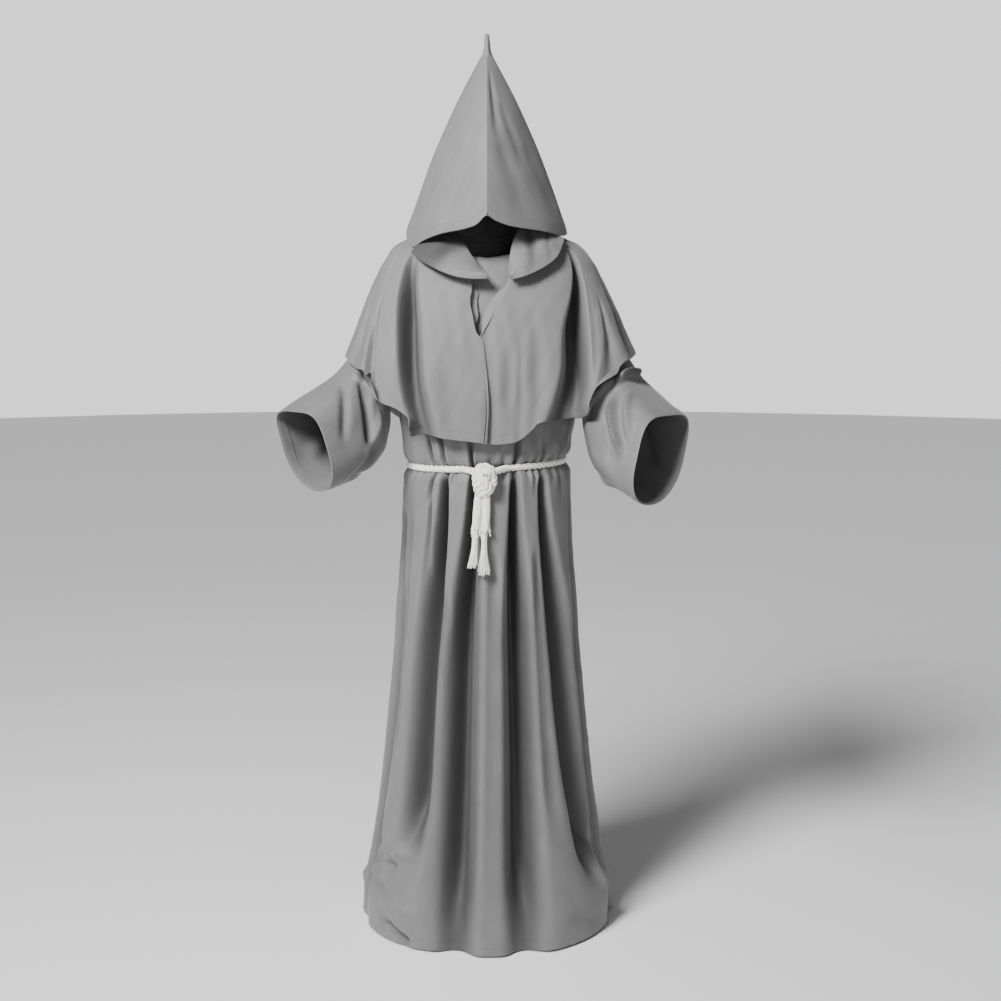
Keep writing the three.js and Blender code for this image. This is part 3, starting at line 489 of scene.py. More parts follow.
def crease(across, along, ends, bow, width):
    """Nearness to a bowed line between two ends on the cloth, all in millimetres."""
    from_across, from_along, to_across, to_along = ends
    run = to_across - from_across
    rise = to_along - from_along
    length = math.hypot(run, rise)
    share = ((across - from_across) * run + (along - from_along) * rise) / length ** 2
    aside = ((across - from_across) * rise - (along - from_along) * run) / length
    aside = aside - bow * 4 * share * (1 - share)
    ends_clear = ease(share / 0.3) * ease((1 - share) / 0.3)
    return ends_clear * hump(aside, width)


def uneven(across, along, size, seed):
    """Soft irregular swell between -1 and 1, of a size in millimetres."""
    chance = random.Random(seed)
    total = np.zeros(np.broadcast(across, along).shape)
    waves = 6
    for _ in range(waves):
        way = chance.uniform(0, 2 * math.pi)
        pace = 2 * math.pi / (size * chance.uniform(0.7, 1.6))
        phase = chance.uniform(0, 2 * math.pi)
        total += np.sin(pace * (across * math.cos(way) + along * math.sin(way)) + phase)
    return total / waves


# Colours and materials.

def colour(code):
    """Linear colour of an sRGB hex code."""
    parts = [int(code[i:i + 2], 16) / 255 for i in (1, 3, 5)]
    linear = [p / 12.92 if p <= 0.04045 else ((p + 0.055) / 1.055) ** 2.4 for p in parts]
    return (*linear, 1)


def add_node(tree, kind, settings, links=None):
    """Adds a node, sets its sockets and options by name, and links sources into its sockets."""
    made = tree.nodes.new(kind)
    for name, value in settings.items():
        if isinstance(name, int) or name in made.inputs:
            made.inputs[name].default_value = value
        else:
            setattr(made, name, value)
    for name, source in (links or {}).items():
        tree.links.new(source, made.inputs[name])
    return made


def new_material(name):
    material = bpy.data.materials.new(name)
    material.use_nodes = True
    tree = material.node_tree
    tree.nodes.clear()
    return material, tree


def ramp(tree, source, stops):
    made = add_node(tree, "ShaderNodeValToRGB", {}, {"Fac": source})
    elements = made.color_ramp.elements
    for i, (position, shade) in enumerate(stops):
        element = elements[i] if i < 2 else elements.new(position)
        element.position = position
        element.color = shade
    return made


def polyester_twill():
    """Matte polyester twill, woven and pressed: even mid grey but for painted shade in deep folds, soft sheen on the
    folds.
    """
    material, tree = new_material("polyester_twill_grey")
    cloth_map = add_node(tree, "ShaderNodeUVMap", {"uv_map": "cloth"})
    # Threads are 0.3 mm apart, too fine to show from here, so the twill line is drawn 3 mm apart.
    twill_map = add_node(
        tree, "ShaderNodeMapping",
        {"Rotation": (0, 0, math.radians(38)), "Scale": (1, 1, 1)},
        {"Vector": cloth_map.outputs["UV"]},
    )
    twill = add_node(
        tree, "ShaderNodeTexWave",
        {"Scale": 100.0, "Distortion": 2.2, "Detail": 2.0, "Detail Scale": 1.5},
        {"Vector": twill_map.outputs["Vector"]},
    )
    # Slubs: thicker stretches of yarn, about 4 mm wide and 60 mm long, along the warp.
    slub_map = add_node(
        tree, "ShaderNodeMapping", {"Scale": (240, 16, 1)}, {"Vector": cloth_map.outputs["UV"]},
    )
    slub = add_node(
        tree, "ShaderNodeTexNoise", {"Scale": 1.0, "Detail": 3.0, "Roughness": 0.55},
        {"Vector": slub_map.outputs["Vector"]},
    )
    # Handling marks: soft dents about 30 mm across, a little longer down the cloth.
    dent_map = add_node(
        tree, "ShaderNodeMapping", {"Scale": (34, 14, 1)}, {"Vector": cloth_map.outputs["UV"]},
    )
    dent = add_node(
        tree, "ShaderNodeTexNoise", {"Scale": 1.0, "Detail": 4.0, "Roughness": 0.5, "Distortion": 0.6},
        {"Vector": dent_map.outputs["Vector"]},
    )
    # Stitches: a groove 18 mm above each hem, broken every 3 mm.
    edge = add_node(tree, "ShaderNodeAttribute", {"attribute_name": "hem"})
    from_stitch = add_node(
        tree, "ShaderNodeMath", {"operation": "SUBTRACT", 1: 0.018}, {0: edge.outputs["Fac"]},
    )
    near_stitch = add_node(
        tree, "ShaderNodeMath", {"operation": "COMPARE", 1: 0.0, 2: 0.0011},
        {0: from_stitch.outputs["Value"]},
    )
    along_map = add_node(tree, "ShaderNodeSeparateXYZ", {}, {"Vector": cloth_map.outputs["UV"]})
    along = add_node(
        tree, "ShaderNodeMath", {"operation": "MULTIPLY", 1: 2 * math.pi / 0.006},
        {0: along_map.outputs["X"]},
    )
    beat = add_node(tree, "ShaderNodeMath", {"operation": "SINE"}, {0: along.outputs["Value"]})
    stitch_on = add_node(
        tree, "ShaderNodeMapRange",
        {"From Min": -1.0, "From Max": 1.0, "To Min": 0.45, "To Max": 1.0},
        {"Value": beat.outputs["Value"]},
    )
    stitch = add_node(
        tree, "ShaderNodeMath", {"operation": "MULTIPLY"},
        {0: near_stitch.outputs["Value"], 1: stitch_on.outputs["Result"]},
    )
    shade = ramp(tree, dent.outputs["Fac"], ((0.25, colour("#6c6c6c")), (0.75, colour("#747474"))))
    # Painted shade: the colour darkens towards the bottoms of deep folds, down to 26 % at the deepest, beyond the shade
    # the lights give.
    fold = add_node(tree, "ShaderNodeAttribute", {"attribute_name": "fold"})
    depth = add_node(
        tree, "ShaderNodeMapRange", {"To Min": 1.0, "To Max": 0.26}, {"Value": fold.outputs["Fac"]},
    )
    streak = ramp(tree, slub.outputs["Fac"], ((0.3, (0.93, 0.93, 0.93, 1)), (0.7, (1, 1, 1, 1))))
    body = add_node(
        tree, "ShaderNodeMix", {"data_type": "RGBA", "blend_type": "MULTIPLY", "Factor": 1.0},
        {6: shade.outputs["Color"], 7: streak.outputs["Color"]},
    )
    sewn = add_node(
        tree, "ShaderNodeMix", {"data_type": "RGBA", "blend_type": "MIX"},
        {"Factor": stitch.outputs["Value"], 6: body.outputs[2]},
    )
    sewn.inputs[7].default_value = colour("#686868")
    painted_shade_mix = add_node(
        tree, "ShaderNodeMix", {"data_type": "RGBA", "blend_type": "MULTIPLY", "Factor": 1.0},
        {6: sewn.outputs[2], 7: depth.outputs["Result"]},
    )
    gloss = add_node(
        tree, "ShaderNodeMapRange", {"To Min": 0.52, "To Max": 0.66}, {"Value": slub.outputs["Fac"]},
    )
    dents = add_node(
        tree, "ShaderNodeBump", {"Strength": 0.35, "Distance": 0.003}, {"Height": dent.outputs["Fac"]},
    )
    slubs = add_node(
        tree, "ShaderNodeBump", {"Strength": 0.35, "Distance": 0.0004},
        {"Height": slub.outputs["Fac"], "Normal": dents.outputs["Normal"]},
    )
    ribs = add_node(
        tree, "ShaderNodeBump", {"Strength": 0.25, "Distance": 0.0003},
        {"Height": twill.outputs["Fac"], "Normal": slubs.outputs["Normal"]},
    )
    seams = add_node(
        tree, "ShaderNodeBump", {"Strength": 0.5, "Distance": 0.001, "invert": True},
        {"Height": stitch.outputs["Value"], "Normal": ribs.outputs["Normal"]},
    )
    shader = add_node(
        tree, "ShaderNodeBsdfPrincipled",
        {
            "Specular IOR Level": 0.35,
            "Sheen Weight": 0.22,
            "Sheen Roughness": 0.42,
            "Sheen Tint": (1, 1, 1, 1),
        },
        {
            "Base Color": painted_shade_mix.outputs[2],
            "Roughness": gloss.outputs["Result"],
            "Normal": seams.outputs["Normal"],
        },
    )
    output = add_node(tree, "ShaderNodeOutputMaterial", {}, {"Surface": shader.outputs["BSDF"]})
    return material


def cotton_rope():
    """Soft twisted cotton rope, bleached: near white, dull, fibres along each strand."""
    material, tree = new_material("cotton_rope_white")
    strand_map = add_node(tree, "ShaderNodeUVMap", {"uv_map": "cloth"})
    # Yarns run along the strand, about 1 mm wide and 30 mm long.
    yarn_map = add_node(
        tree, "ShaderNodeMapping", {"Scale": (900, 34, 1)}, {"Vector": strand_map.outputs["UV"]},
    )
    yarn = add_node(
        tree, "ShaderNodeTexNoise", {"Scale": 1.0, "Detail": 3.0, "Roughness": 0.6},
        {"Vector": yarn_map.outputs["Vector"]},
    )
    place_map = add_node(tree, "ShaderNodeTexCoord", {})
    patch = add_node(
        tree, "ShaderNodeTexNoise", {"Scale": 60.0, "Detail": 2.0},
        {"Vector": place_map.outputs["Object"]},
    )
    tone = ramp(tree, yarn.outputs["Fac"], ((0.25, colour("#d9d7d2")), (0.6, colour("#f6f5f1"))))
    age = ramp(tree, patch.outputs["Fac"], ((0.3, (0.94, 0.94, 0.93, 1)), (0.7, (1, 1, 1, 1))))
    body = add_node(
        tree, "ShaderNodeMix", {"data_type": "RGBA", "blend_type": "MULTIPLY", "Factor": 1.0},
    )
    tree.links.new(tone.outputs["Color"], body.inputs[6])
    tree.links.new(age.outputs["Color"], body.inputs[7])
    fibres = add_node(
        tree, "ShaderNodeBump", {"Strength": 0.5, "Distance": 0.0006}, {"Height": yarn.outputs["Fac"]},
    )
    shader = add_node(
        tree, "ShaderNodeBsdfPrincipled",
        {"Roughness": 0.86, "Specular IOR Level": 0.3, "Sheen Weight": 0.3, "Sheen Roughness": 0.5},
        {"Base Color": body.outputs[2], "Normal": fibres.outputs["Normal"]},
    )
    add_node(tree, "ShaderNodeOutputMaterial", {}, {"Surface": shader.outputs["BSDF"]})
    return material


# Meshes of cloth and rope.

def new_object(name, verts, faces, uvs, material, **amounts):
    """Mesh object in metres from points in millimetres above the floor, with its cloth map
    and any amounts kept at its points."""
    mesh = bpy.data.meshes.new(name)
    metres = (np.asarray(verts, dtype=float) - (0, 0, SHOULDER_HEIGHT)) / 1000
    mesh.from_pydata(metres.tolist(), [], faces.tolist())
    layer = mesh.uv_layers.new(name="cloth")
    corners = np.zeros(len(mesh.loops), dtype=np.int32)
    mesh.loops.foreach_get("vertex_index", corners)
    layer.data.foreach_set("uv", (np.asarray(uvs)[corners] / 1000).astype(np.float32).ravel())
    for amount, values in amounts.items():
        attribute = mesh.attributes.new(amount, "FLOAT", "POINT")
        attribute.data.foreach_set("value", np.asarray(values, dtype=np.float32).ravel())
    mesh.materials.append(material)
    mesh.update()
    made = bpy.data.objects.new(name, mesh)
    bpy.context.scene.collection.objects.link(made)
    return made


def finish_object(made, thick=0.0):
    """Gives a wall its thickness, inwards, and smooths what isn't a corner."""
    bpy.ops.object.select_all(action="DESELECT")
    made.select_set(True)
    bpy.context.view_layer.objects.active = made
    if thick:
        wall = made.modifiers.new("wall", "SOLIDIFY")
        wall.thickness = thick / 1000
        wall.offset = -1
        wall.use_even_offset = False
        bpy.ops.object.modifier_apply(modifier=wall.name)
    bpy.ops.object.shade_smooth_by_angle(angle=math.radians(50))
    return made


def grid_faces(rows, columns, is_round=False):
    down, side = np.meshgrid(np.arange(rows - 1), np.arange(columns if is_round else columns - 1), indexing="ij")
    after = (side + 1) % columns
    a = down * columns + side
    b = down * columns + after
    c = (down + 1) * columns + after
    d = (down + 1) * columns + side
    return np.stack([a, b, c, d], axis=-1).reshape(-1, 4)


def lengths_from_start(points, axis):
    steps = np.linalg.norm(np.diff(points, axis=axis), axis=-1)
    first = np.zeros_like(np.take(steps, [0], axis=axis))
    return np.concatenate([first, np.cumsum(steps, axis=axis)], axis=axis)


def cloth(name, surface, columns, rows, field, lips="", hem_row=None, is_round=False, material=None, shade=None):
    """Cloth wall over a surface of column and row, pushed in by a field of creases.
    Lips are edges that turn in as at a seam: l, r, b and t for left, right, bottom and top."""
    column, row = np.meshgrid(columns, rows)
    step_column = 0.02 * (columns[-1] - columns[0]) / len(columns)
    step_row = 0.02 * (rows[-1] - rows[0]) / len(rows)
    base = surface(column, row)
    along = surface(column + step_column, row) - surface(column - step_column, row)
    up = surface(column, row + step_row) - surface(column, row - step_row)
    normal = unit(np.cross(along, up))
    pushed = field(column, row, base)
    points = base - normal * pushed[..., None]
    # Painted shade: the fold amount darkens the colour with the depth the cloth is pushed in, plus any painted shade
    # given, and doesn't move it.
    deep = np.maximum(pushed, 0) + (shade(column, row) if shade else 0)
    fold = 1 - np.exp(-(deep / PAINTED_FOLD_SHADE_DEPTH) ** 1.5)
    across = lengths_from_start(points, 1)
    middle = across[:, across.shape[1] // 2][:, None]
    rise = lengths_from_start(points, 0)
    uvs = np.stack([across - middle, rise], axis=-1)
    hem = rise if hem_row == 0 else rise[-1] - rise
    if hem_row is None:
        hem = np.full_like(rise, NO_HEM)
    layers = [points, normal, uvs, hem, fold]
    if hem_row is not None:
        layers[1] = unit(np.cross(np.gradient(points, axis=1), np.gradient(points, axis=0)))
        layers = turn_up(layers, hem_row == 0)
    for edge in lips:
        layers = add_lip(layers, edge)
    points, normal, uvs, hem, fold = layers
    size = points.shape[:2]
    made = new_object(
        name, points.reshape(-1, 3), grid_faces(*size, is_round), uvs.reshape(-1, 2), material,
        hem=hem / 1000, fold=fold,
    )
    finish_object(made, CLOTH)
    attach(made, "root")
    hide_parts(name.replace("cloth_", ""))
    return made


def turn_up(layers, at_start):
    """Folds the hem inside: a soft roll at the edge and a band that follows the wall."""
    whole = [part if at_start else part[::-1] for part in layers]
    points, normal, uvs, hem, fold = whole
    deep = hem.mean(axis=1)
    last = max(2, int(np.searchsorted(deep, HEM_WIDTH)))
    band = slice(last, 0, -1)
    away = unit(points[:1] - points[1:2])
    turned = (
        points[band] - normal[band] * HEM_GAP,
        normal[band],
        uvs[:1] * 2 - uvs[band],
        hem[band],
        fold[band],
    )
    roll = (
        points[:1] + away * HEM_ROLL - normal[:1] * HEM_GAP / 2,
        unit(away - normal[:1]),
        uvs[:1],
        hem[:1],
        fold[:1],
    )
    joined = [np.concatenate(parts, axis=0) for parts in zip(turned, roll, whole)]
    return [part if at_start else part[::-1] for part in joined]


def add_lip(layers, edge):
    """Turns one edge of the cloth in, as the allowance of a seam."""
    axis = 1 if edge in "lr" else 0
    index = 0 if edge in "lb" else -1
    points, normal, uvs, hem, fold = [np.take(part, [index], axis=axis) for part in layers]
    aside = np.zeros_like(uvs)
    aside[..., 1 - axis] = LIP * (-1 if index == 0 else 1)
    lip = (points - normal * LIP, normal, uvs + aside, hem + NO_HEM, fold)
    joined = []
    for extra, old in zip(lip, layers):
        order = [extra, old] if index == 0 else [old, extra]
        joined.append(np.concatenate(order, axis=axis))
    return joined


# Robe.

def oval(turn, half, depth, height):
    angle = np.radians(turn)
    return place(half * np.sin(angle), -depth * np.cos(angle), height)


def robe_body(turn, height):
    pinch = height - BELT_TILT * np.sin(np.radians(turn)) * hump(height - BELT_HEIGHT, 60)
    half = read(ROBE_SECTIONS, "height", "half", pinch)
    front = read(ROBE_SECTIONS, "height", "front", pinch)
    back = read(ROBE_SECTIONS, "height", "back", pinch)
    depth = np.where(np.cos(np.radians(turn)) > 0, front, back)
    return oval(turn, half, depth, height)


def robe_surface(turn, row, is_front):
    """Rows up to 0 run from the hem (-1) to the armpit, rows past 0 over the yoke (1)."""
    height = mix(ROBE_SECTIONS["height"][0], ARMPIT_HEIGHT, np.clip(row + 1, 0, 1))
    body = robe_body(turn, height)
    share = np.clip(row, 0, 1)
    rows = FRONT_TOP if is_front else BACK_TOP
    from_middle = turn if is_front else -turn_between(180, turn)
    across = np.minimum(1, np.abs(from_middle) / 90)
    over = np.radians(90 * share)
    bulge = ARMHOLE_BULGE * np.sin(2 * over) * across ** 4 * (-1 if is_front else 1)
    yoke = place(
        mix(body[..., 0], np.sign(from_middle) * read(rows, "across", "x", across), share),
        mix(read(rows, "across", "y", across), body[..., 1], np.cos(over)) + bulge,
        mix(height, read(rows, "across", "height", across), np.sin(over)),
    )
    return np.where((row > 0)[..., None], yoke, body)


def skirt_field(turn, height):
    depth = np.zeros_like(turn)
    for fold in at_each(SKIRT_FOLDS):
        upper = mix(fold["middle"], fold["belt"], ease((height - 600) / 440))
        centre = np.where(height > 600, upper, mix(fold["hem"], fold["middle"], ease(height / 600)))
        begun = ease((fold["top"] - height) / SKIRT_START)
        ended = ease((height - fold["low"]) / SKIRT_FADE) * mix(HEM_DEPTH, 1, ease(height / HEM_CALM))
        spread = fold["spread"] * mix(1.12, 0.36, ease((height - 640) / 400))
        depth += fold["depth"] * begun * ended * hump(turn_between(centre, turn), spread, 2.5)
    return depth


def gather_field(turn, height):
    belt = BELT_HEIGHT + BELT_TILT * np.sin(np.radians(turn))
    above = height - belt
    depth = np.zeros_like(turn)
    for row in at_each(GATHERS):
        length = np.where(above > 0, row["up"], row["down"])
        far_turn = np.where(above > 0, row["up_turn"], row["down_turn"])
        deep = np.where(above > 0, row["up_depth"], row["down_depth"])
        gone = np.clip(np.abs(above) / length, 0, 1.6)
        centre = row["turn"] + turn_between(row["turn"], far_turn) * gone
        spread = row["spread"] * (0.8 + 0.7 * gone)
        risen = mix(0.35, 1, ease(np.abs(above) / 14))
        fading = risen * (1 - ease((gone - 0.25) / 1.3))
        offset = turn_between(centre, turn)
        depth += deep * fading * (hump(offset, spread) - 0.3 * hump(offset, spread * 2.6))
    return depth


def robe_field(turn, row, base):
    height = base[..., 2]
    body = row <= 0
    scale = 3.5
    depth = skirt_field(turn, height) + gather_field(turn, height)
    for line in at_each(ROBE_CREASES):
        ends = (line["turn0"] * scale, line["height0"], line["turn1"] * scale, line["height1"])
        near = crease(turn_between(0, turn) * scale, height, ends, line["bow"], line["width"])
        depth = depth + line["depth"] * near
    swell = 1.6 * uneven(turn * scale, height, 150, 3) + 0.9 * uneven(turn * scale, height, 60, 4)
    blouse = ease((height - 1075) / 40) * ease((1240 - height) / 60)
    swell = swell + 3.0 * blouse * uneven(turn * scale, height * 0.3, 46, 9)
    depth = depth + swell * ease((np.abs(height - BELT_HEIGHT) - 10) / 40)
    return np.where(body, depth, 0)


def robe_rows():
    """Even rows but for the waist, where the gathers need them close."""
    heights = np.concatenate([
        np.linspace(5, 40, 7, endpoint=False),
        np.linspace(40, 960, 92, endpoint=False),
        np.linspace(960, 1030, 14, endpoint=False),
        np.linspace(1030, 1078, 22, endpoint=False),
        np.linspace(1078, 1140, 13, endpoint=False),
        np.linspace(1140, ARMPIT_HEIGHT, 10, endpoint=False),
    ])
    body = (heights - 5) / (ARMPIT_HEIGHT - 5) - 1
    return np.concatenate([body, np.linspace(0, 1, 12)])


def dress_robe(material):
    rows = robe_rows()
    seam = 0.05
    turns = np.concatenate([
        np.linspace(-90 + seam, -56, 38, endpoint=False),
        np.linspace(-56, 64, 190, endpoint=False),
        np.linspace(64, 90 - seam, 30),
    ])
    front = cloth(
        "cloth_robe_front", lambda turn, row: robe_surface(turn, row, True),
        turns, rows, robe_field, "lr", 0, material=material,
    )
    back = cloth(
        "cloth_robe_back", lambda turn, row: robe_surface(turn, row, False),
        np.linspace(90 + seam, 270 - seam, 220), rows, robe_field, "lr", 0, material=material,
    )


# Sleeves.

def sleeve_surface(rings, around, along, side):
    angle = np.radians(around)
    at = {name: read(rings, "along", name, along) for name in rings}
    top = place(at["top_x"], at["top_y"], at["top"])
    low = place(at["low_x"], at["low_y"], at["low"])
    across = place(at["side_x"], at["side_y"], 0)
    middle = (top + low) / 2
    upright = (top - low) / 2
    # The section is squarer than an oval towards the cuff, where the cloth hangs from the arm.
    square = np.where(np.cos(angle) > 0, CUFF_TOP_SQUARENESS, CUFF_LOW_SQUARENESS)
    power = mix(2, square, ease(along))
    reach = (np.abs(np.sin(angle)) ** power + np.abs(np.cos(angle)) ** power) ** (-1 / power)
    points = middle + upright * (np.cos(angle) * reach)[..., None] + across * (np.sin(angle) * reach)[..., None]
    return points * (side, 1, 1)


def sleeve_field(around, along, creases):
    depth = np.zeros_like(around)
    length = 430
    scale = 1.35
    for line in (*at_each(creases), *at_each(SLEEVE_BACK_CREASES)):
        start = line["around0"]
        run = line["around1"] - start
        offset = turn_between(start + run / 2, np.abs(around)) + run / 2
        ends = (0, line["along0"] * length, run * scale, line["along1"] * length)
        near = crease(offset * scale, along * length, ends, line["bow"], line["width"])
        depth = depth + line["depth"] * near
    swell = 2.2 * uneven(around * scale, along * length, 120, 21) + 1.2 * uneven(around * scale, along * length, 55, 22)
    ends_clear = ease(along / 0.15) * mix(0.4, 1, ease((1 - along) / 0.1))
    return depth * ease(along / 0.2) + swell * ends_clear * hump(turn_between(180, np.abs(around)), 150, 6)


def dress_sleeve(name, rings, creases, side, material):
    turns = np.linspace(0, 360, 126, endpoint=False) * side
    made = cloth(
        name, lambda around, along: sleeve_surface(rings, np.abs(around), along, side),
        turns, np.linspace(0, 1, 120), lambda around, along, base: sleeve_field(around, along, creases),
        "", -1, True, material,
    )


# Cape.

def grain_turn(hem_turn, ring):
    short = turn_between(0, hem_turn)
    neck = np.sign(short) * read(CAPE_GRAIN, "hem", "neck", np.abs(short))
    return np.where(np.abs(short) >= 90, hem_turn, mix(neck, short, ring))


def cape_ring(turn, ring):
    at = {name: read(CAPE_RINGS, "ring", name, ring) for name in CAPE_RINGS}
    sine = np.sin(np.radians(turn))
    cosine = np.cos(np.radians(turn))
    power = mix(2, CAPE_SQUARENESS, ease(ring))
    reach = (np.abs(sine) ** power + np.abs(cosine) ** power) ** (-1 / power)
    half = at["half"] * (1 + CAPE_LEAN * ease(ring) * sine)
    depth = np.where(cosine > 0, at["front"], at["back"])
    height = mix(np.where(cosine > 0, at["front_z"], at["back_z"]), at["side_z"], sine * sine)
    return place(half * sine * reach, -depth * cosine * reach, height)


def cape_surface(hem_turn, ring):
    turn = grain_turn(hem_turn, ring)
    points = cape_ring(turn, ring)
    drop = read(CAPE_HEM, "turn", "height", turn_between(0, hem_turn)) - cape_ring(turn, np.ones_like(ring))[..., 2]
    points[..., 2] += drop * ring ** 3
    return points


def cape_field(hem_turn, ring, base):
    depth = np.zeros_like(hem_turn)
    for row in at_each(CAPE_FOLDS):
        begun = ease((ring - row["start"]) / CAPE_FADE)
        upper = mix(row["high"], row["middle"], ease((ring - CAPE_FOLD_TOP) / CAPE_FOLD_RUN))
        lower = ring - CAPE_FOLD_TOP - CAPE_FOLD_RUN
        centre = mix(upper, row["low"], ease(lower / (1 - CAPE_FOLD_TOP - CAPE_FOLD_RUN)))
        spread = row["spread"] * mix(0.6, 1, ease((ring - row["start"]) / 0.4))
        low = ease((ring - CAPE_HEM_START) / (1 - CAPE_HEM_START))
        calm = mix(1, CAPE_HEM_DEPTH, low)
        spread = spread * mix(1, CAPE_HEM_SPREAD, low)
        depth += row["depth"] * begun * calm * hump(turn_between(centre, hem_turn), spread, row["sharp"])
    across = base[..., 0] - base[..., 1] * 0.6
    swell = 1.5 * uneven(across, base[..., 2], 130, 31) + 1.0 * uneven(across, base[..., 2] * 0.4, 34, 32)
    return depth + swell * ease(ring / 0.3)


def edge_turn(ring, name):
    height = read(CAPE_RINGS, "ring", "front_z", ring)
    half = read(CAPE_RINGS, "ring", "half", ring)
    return np.degrees(np.arcsin(read(FRONT_EDGE, "height", name, height) / half))


def edge_thread(ring, name):
    spread = CAPE_GRAIN["neck"][1] / CAPE_GRAIN["hem"][1]
    return edge_turn(ring, name) / mix(spread, 1, ring)


def dress_cape(material):
    seam = 0.06
    last = 90 - seam
    rings = np.linspace(1, 0, 120)
    for name, side in (("cape_front_left", 1), ("cape_front_right", -1)):
        edge_name = "left" if side > 0 else "right"

        def turn_at(column, ring):
            overlap = CAPE_OVERLAP if side < 0 else 0
            edge = side * edge_thread(ring, edge_name) - overlap
            return side * mix(edge, last, np.abs(column) / last)

        columns = np.concatenate([np.linspace(0, 12, 28, endpoint=False), np.linspace(12, 60, 130, endpoint=False), np.linspace(60, last, 22)])
        columns = columns if side > 0 else -columns[::-1]
        def field(column, ring, base):
            turn = turn_at(column, ring)
            under = CAPE_UNDER * hump(turn, 2.4) if side > 0 else 0
            return cape_field(turn, ring, base) + under

        made = cloth(
            "cloth_" + name, lambda column, ring: cape_surface(turn_at(column, ring), ring),
            columns, rings, field, "r" if side > 0 else "l", 0, material=material,
        )
    back = cloth(
        "cloth_cape_back", cape_surface, np.linspace(90 + seam, 270 - seam, 180), rings, cape_field,
        "lr", 0, material=material,
    )


def dress_facing(name, side, width, material):
    edge_name = "left" if side > 0 else "right"

    def surface(across, ring):
        share = -side * across
        points = cape_surface(edge_thread(ring, edge_name), ring)
        opened = ease((points[..., 2] - SLIT_LOW) / 60)
        opened = opened * mix(1, 0.3, ease((points[..., 2] - 1424) / 30))
        points[..., 0] = read(FRONT_EDGE, "height", edge_name, points[..., 2]) - side * share * width * opened
        points[..., 1] += (4 if side > 0 else 11) + share * 3
        return points

    columns = np.linspace(-1, 0.3, 12) if side > 0 else np.linspace(-0.3, 1, 12)
    made = cloth(
        name, surface, columns, np.linspace(0.5, 0.15, 40),
        lambda across, ring, base: 0.8 * uneven(base[..., 0], base[..., 2], 40, 41), material=material,
    )


# Hood and collar.

def hood_surface(turn, share):
    angle = np.radians(turn)
    edge = read(HOOD_EDGE, "turn", "height", turn_between(0, turn))
    height = mix(edge, HOOD_TOP, share)
    at = {name: read(HOOD_SECTIONS, "height", name, height) for name in HOOD_SECTIONS}
    cosine = np.cos(angle)
    drawn = mix(np.abs(cosine), 1 - np.abs(np.sin(angle)), HOOD_CREASE) * np.sign(cosine)
    depth = np.where(cosine > 0, at["front"], at["back"])
    return place(at["half"] * np.sin(angle), -depth * drawn, height)


def hood_field(turn, share, base):
    depth = np.zeros_like(turn)
    for line in at_each(HOOD_CREASES):
        scale = 2.6
        start = line["turn0"]
        run = turn_between(start, line["turn1"])
        ends = (0, line["share0"] * 400, run * scale, line["share1"] * 400)
        near = crease(turn_between(start, turn) * scale, share * 400, ends, line["bow"], line["width"])
        depth = depth + line["depth"] * near
    swell = 1.6 * uneven(base[..., 0] * 1.4 + base[..., 1], base[..., 2], 140, 51)
    to_seam = np.minimum(np.abs(turn_between(0, turn)), np.abs(turn_between(180, turn)))
    return (depth + swell) * ease(to_seam / 12) * ease((1 - share) / 0.3)


def dress_hood(name, side, material):
    low = 0 if side > 0 else 180
    shares = np.concatenate([np.linspace(0, 0.12, 18, endpoint=False), np.linspace(0.12, 1, 76)])
    made = cloth(
        name, hood_surface, np.linspace(low, low + 180, 104), shares, hood_field, "lr", 0, material=material,
    )


def collar_foot(side, along):
    ring = COLLAR_FOOT_RING * np.maximum(0, 1 - along / COLLAR_CORNER)
    around = np.maximum(0, (along - COLLAR_CORNER) / (1 - COLLAR_CORNER))
    turn = mix(edge_turn(ring, "left" if side > 0 else "right"), side * COLLAR_END_TURN, around)
    points = cape_ring(turn, ring + COLLAR_INSET)
    across = cape_ring(turn + 1, ring + COLLAR_INSET) - points
    down = cape_ring(turn, ring + 2 * COLLAR_INSET) - points
    return points + unit(np.cross(down, across)) * 2.0


def collar_surface(lines, side, along, across):
    at = {name: read(lines, "along", name, along) for name in lines}
    roll = place(at["roll_x"], at["roll_y"], at["roll"])
    edge = place(at["edge_x"], at["edge_y"], at["edge"])
    foot = collar_foot(side, along)
    back = np.clip(-across, 0, 1)
    bent = np.sin(back * np.pi / 2)[..., None]
    rising = mix(roll, foot, bent)
    rising[..., 2] = mix(roll[..., 2], foot[..., 2], back ** 2)
    front = np.clip(across, 0, 1)
    out = edge - roll
    out[..., 2] = 0
    belly = np.sin(np.pi * front)[..., None]
    lying = mix(roll, edge, front[..., None]) + unit(out) * COLLAR_BELLY[1] * belly
    lying[..., 2] += COLLAR_BELLY[0] * belly[..., 0]
    return np.where((across < 0)[..., None], rising, lying)


def dress_collar(name, lines, creases, side, material):
    def along_at(column):
        return column if side > 0 else 1 - column

    def creased(column, row):
        depth = np.zeros_like(column)
        for line in at_each(creases):
            ends = (line["along0"] * 190, line["across0"] * 70, line["along1"] * 190, line["across1"] * 70)
            near = crease(along_at(column) * 190, -row * 70, ends, line["bow"], line["width"])
            depth = depth + line["depth"] * near
        return depth

    def field(column, row, base):
        swell = 0.8 * uneven(base[..., 0], base[..., 1], 50, 61)
        return (creased(column, row) * ease(-row / 0.3) + swell) * ease(1 + row)

    # Painted shade: a painted shadow of the hood on the right collar's outer part, and painted shade along the creases,
    # stronger than their depth gives; neither moves the cloth.
    def shade(column, row):
        painted_hood_shadow = COLLAR_PAINTED_SHADOW_DEPTH * (side < 0) * ease((along_at(column) - 0.38) / 0.26)
        return painted_hood_shadow + 1.6 * creased(column, row)

    made = cloth(
        name, lambda column, row: collar_surface(lines, side, along_at(column), -row),
        np.linspace(0, 1, 76), np.linspace(-1, 1, 60), field, "", 0, material=material,
        shade=shade,
    )


# Rope: three strands laid round one another.

